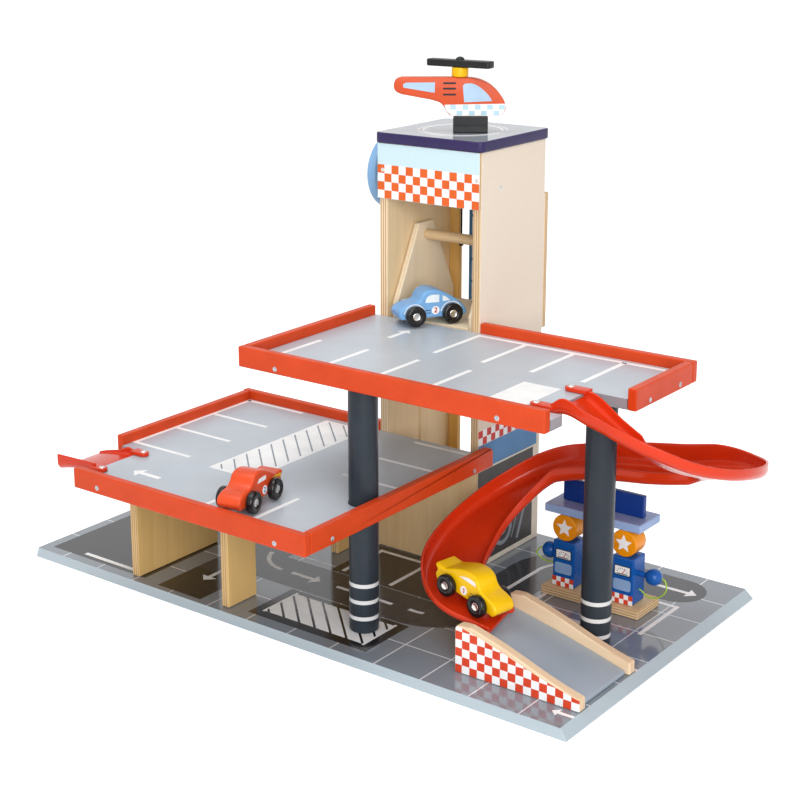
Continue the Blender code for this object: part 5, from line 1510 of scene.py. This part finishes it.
FLANK = [(-34.1, 9.9), (-26.3, 11.7), (-20.5, 11.6), (-16.4, 10.7), (-19.3, 12.9), (-25.5, 13.8), (-34.2, 13.0)]
on_both_sides("stripe", "red", PAINT["mast yellow paint"], [FLANK])
arches = [stripe(turn_points(x, 3.6, 10.6, 12, 168, 24), 0.9) for x in (AXLE_X, -AXLE_X)]
on_both_sides("arches", "blue", PAINT["print white"], arches)
print("cars printed")

# %% [markdown]
# ## Helicopter
# The body is sawn from a board, like the cars. The rotor is a flat bar that turns on a yellow mast.

# %% The helicopter's body
HELI = (
    (-17.2, 0, 1), (26.2, 0, 1), (30.5, 2.8), (32.1, 8.9), (30.5, 14), (27.5, 18.8), (21.8, 25.5),
    (13.8, 31.2), (4, 34.6), (-12.6, 35.7, 1), (-64, 35.7, 1), (-69, 33.5), (-70.8, 28.8), (-69.4, 23.5),
    (-64, 20.4, 1), (-47.1, 17.2), (-33.3, 14.4), (-27.5, 12), (-23.8, 7.6), (-20.5, 2.2)
)
YAW = math.radians(34)
HELI_U = np.array([math.cos(YAW), math.sin(YAW), 0])
HELI_N = np.cross(HELI_U, (0, 0, 1))
HELI_AT, HELI_THICK = np.array([334.6, 261.3, 435.1]), 13
heli = eased_board(
    "helicopter_board", smooth_outline(HELI, 9), HELI_THICK, 1.2, frame_of(HELI_AT, HELI_U, UPWARDS),
    PAINT["helicopter red paint"], "helicopter", 6,
)
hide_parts("helicopter_body")
print("helicopter's body made")

# %% Prints on the helicopter
TAIL_GLASS = ((-62.0, 26.5), (-36.4, 22.2), (-33.1, 21.9), (-32.9, 31.3), (-59.3, 31.0), (-62.3, 29.6))
FRONT_GLASS = ((-6.0, 13.0, 1), (19.8, 14.1, 1), (16.8, 18.8), (10.7, 24.9), (5.3, 28.6), (0.6, 30.3),
               (-5.5, 30.0, 1), (-7.3, 28.2, 1))
BELLY = (
    (-24.2, 10.7, 1), (-21.8, 5.0), (-17.3, 0.4, 1), (26.0, 0.4, 1), (30.0, 3.0), (31.5, 7.2),
    (31.6, 11.7, 1)
)
upper_squares = [block(x, 6.3, x + 5.2, 10.8) for x in (-18.8, -7.3, 3.9, 15.1, 26.0)]
lower_squares = [block(x, 0.9, x + 5.2, 5.2) for x in (-12.9, -1.6, 9.6, 21.0)]
PRINTS = {
    "helicopter_glass_tail": ("print glass blue", 0.05, [TAIL_GLASS]),
    "helicopter_glass": ("print glass blue", 0.05, [smooth_outline(FRONT_GLASS, 5)]),
    "helicopter_slots": (
        "print black", 0.05, [block(-25.6, z - 0.9, -13.5, z + 0.9, 0.85) for z in (30.5, 25.5, 20.1)]
    ),
    "helicopter_belly": ("print white", 0.05, [smooth_outline(BELLY, 5)]),
    "helicopter_squares": ("print sky", 0.09, upper_squares + lower_squares)
}
for side, label in ((1, "near"), (-1, "far")):
    place = frame_of(HELI_AT + HELI_N * side * HELI_THICK / 2, HELI_U * side, UPWARDS)
    for name, (ink, high, outlines) in PRINTS.items():
        markings(f"{name}_{label}", place, mirrored(outlines, side), PAINT[ink], "helicopter", high=high)
print("helicopter printed")

# %% Mast and rotor
MAST_AT = HELI_AT + HELI_U * -10.1 + np.array([0, 0, 36.0])
MAST = [(0, 12.9), (1.5, 12.9), (1.5, 8.5)] + rounded_end(7.75, 8.5, 0.9) + [(7.75, 0.9), (7.0, 0), (0, 0)]
mast = turned("helicopter_mast_turned", MAST, MAST_AT, UPWARDS, PAINT["mast yellow paint"], "helicopter", 48)
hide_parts("helicopter_mast")
turn = math.radians(4)
along, aside = (math.cos(turn), math.sin(turn), 0), (-math.sin(turn), math.cos(turn), 0)
ROTOR = frame_of(MAST_AT + np.array([0, 0, 8.8 + 3.25]), along, aside)
outline = block(-33.5, -6, 33.5, 6, 3, 8)
blade = eased_board("helicopter_rotor_board", outline, 6.5, 1.2, ROTOR, PAINT["stand black paint"], "rotor")
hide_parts("helicopter_rotor")
DOME_R, DOME_HIGH = 4.2, 3.0
cap = [(DOME_R * math.sin(b), DOME_HIGH * math.cos(b)) for b in np.linspace(0.2, math.pi / 2, 8)]
DOME = [(0, DOME_HIGH)] + cap + [(DOME_R, -0.4), (0, -0.4)]
turned("rotor_dome", DOME, MAST_AT + np.array([0, 0, 15.3]), UPWARDS, PAINT["stand black paint"], "rotor", 40)
print("mast and rotor made")

# %% [markdown]
# ## The lift's string
# The lift hangs on a black string that the axle winds up. On the toy its top stays with the tower and its foot
# moves with the lift; here the string is one straight piece that rides no body, and a small knot on the lift
# ends it under the lift's bar.

# %% String
KNOT = [(0, 2.2), (1.5, 2.0), (2.1, 1.2), (2.2, 0.2), (1.6, -0.9), (0, -1.2)]
turned("string_knot", KNOT, (321.2, WIND_Y, 310.0), UPWARDS, PAINT["string black"], "lift", 20, 60)
string_low, string_high = world_box("lift_string")
STRING_X, STRING_Y = ((string_low + string_high) / 2)[:2]
STRING_FOOT, STRING_TOP = string_low[2], string_high[2]
profile = drum(0.9, STRING_FOOT, STRING_TOP, 0.2)
string = turned(
    "lift_string_thick", profile, (STRING_X, STRING_Y, 0), UPWARDS, PAINT["string black"], None, 20
)
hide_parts("lift_string")
start, end = (tuple(world((STRING_X, STRING_Y, z))) for z in (STRING_TOP, STRING_FOOT))
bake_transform(string)
print("string", round(STRING_TOP - STRING_FOOT, 1), "mm at", round(STRING_X, 1), round(STRING_Y, 1))

# %% [markdown]
# ## Floor, light and background
# A plain white sweep with soft light from all round. The floor adds a little light of its own for the
# camera only, which takes it to white, and the object's shadow still shows on it.

# %% Floor
FLOOR_HALF, FLOOR_GLOW, ROOM_LIGHT = 40, 0.62, 0.50
WHITE = (1, 1, 1, 1)


def seen_directly(tree):
    """1 for rays from the camera, in a reflection or through glass, and 0 for light on other things."""
    rays = tree.nodes.new("ShaderNodeLightPath").outputs
    mirrored_or_through = maths(tree, "MAXIMUM", rays["Is Glossy Ray"], rays["Is Transmission Ray"])
    return maths(tree, "MAXIMUM", rays["Is Camera Ray"], mirrored_or_through)


floor_mesh = bpy.data.meshes.new("floor")
corners = [(FLOOR_HALF * x, FLOOR_HALF * y, 0) for x, y in ((-1, -1), (1, -1), (1, 1), (-1, 1))]
floor_mesh.from_pydata(corners, [], [(0, 1, 2, 3)])
floor_piece = bpy.data.objects.new("floor", floor_mesh)
bpy.context.scene.collection.objects.link(floor_piece)
made, tree, shader, spot = blank("white sweep")
paper = add(tree, "ShaderNodeTexNoise", vector=spot, scale=3.0, detail=2.0)
tree.links.new(
    mixed(tree, paper.outputs[0], (0.83, 0.83, 0.83), (0.87, 0.87, 0.87)), shader.inputs["Base Color"]
)
shader.inputs["Roughness"].default_value = 0.9
glow = add(tree, "ShaderNodeEmission", i0=WHITE, i1=maths(tree, "MULTIPLY", seen_directly(tree), FLOOR_GLOW))
both = tree.nodes.new("ShaderNodeAddShader")
tree.links.new(shader.outputs[0], both.inputs[0])
tree.links.new(glow.outputs[0], both.inputs[1])
tree.links.new(both.outputs[0], tree.nodes["Material Output"].inputs["Surface"])
floor_mesh.materials.append(made)
print("floor laid")

# %% Room and lamps
world_light = bpy.data.worlds.new("studio")
world_light.use_nodes = True
bpy.context.scene.world = world_light
tree = world_light.node_tree
back = tree.nodes["Background"]
back.inputs["Color"].default_value = WHITE
tree.links.new(between(tree, seen_directly(tree), ROOM_LIGHT, 1.0), back.inputs["Strength"])


def soft_light(name, place, target, size, watts):
    """A square area lamp that looks at a point."""
    lamp = bpy.data.lights.new(name, "AREA")
    lamp.size = size
    lamp.energy = watts
    obj = bpy.data.objects.new(name, lamp)
    way = Vector(target) - Vector(place)
    obj.matrix_world = Matrix.Translation(place) @ way.to_track_quat("-Z", "Y").to_matrix().to_4x4()
    bpy.context.scene.collection.objects.link(obj)


soft_light("key", (1.8, -1.9, 1.0), (0, 0, 0.2), 1.5, 46)
soft_light("top", (-0.3, -0.5, 2.6), (0, 0, 0.1), 1.5, 27)
bpy.context.scene.view_settings.view_transform = "Standard"
print("studio lit")
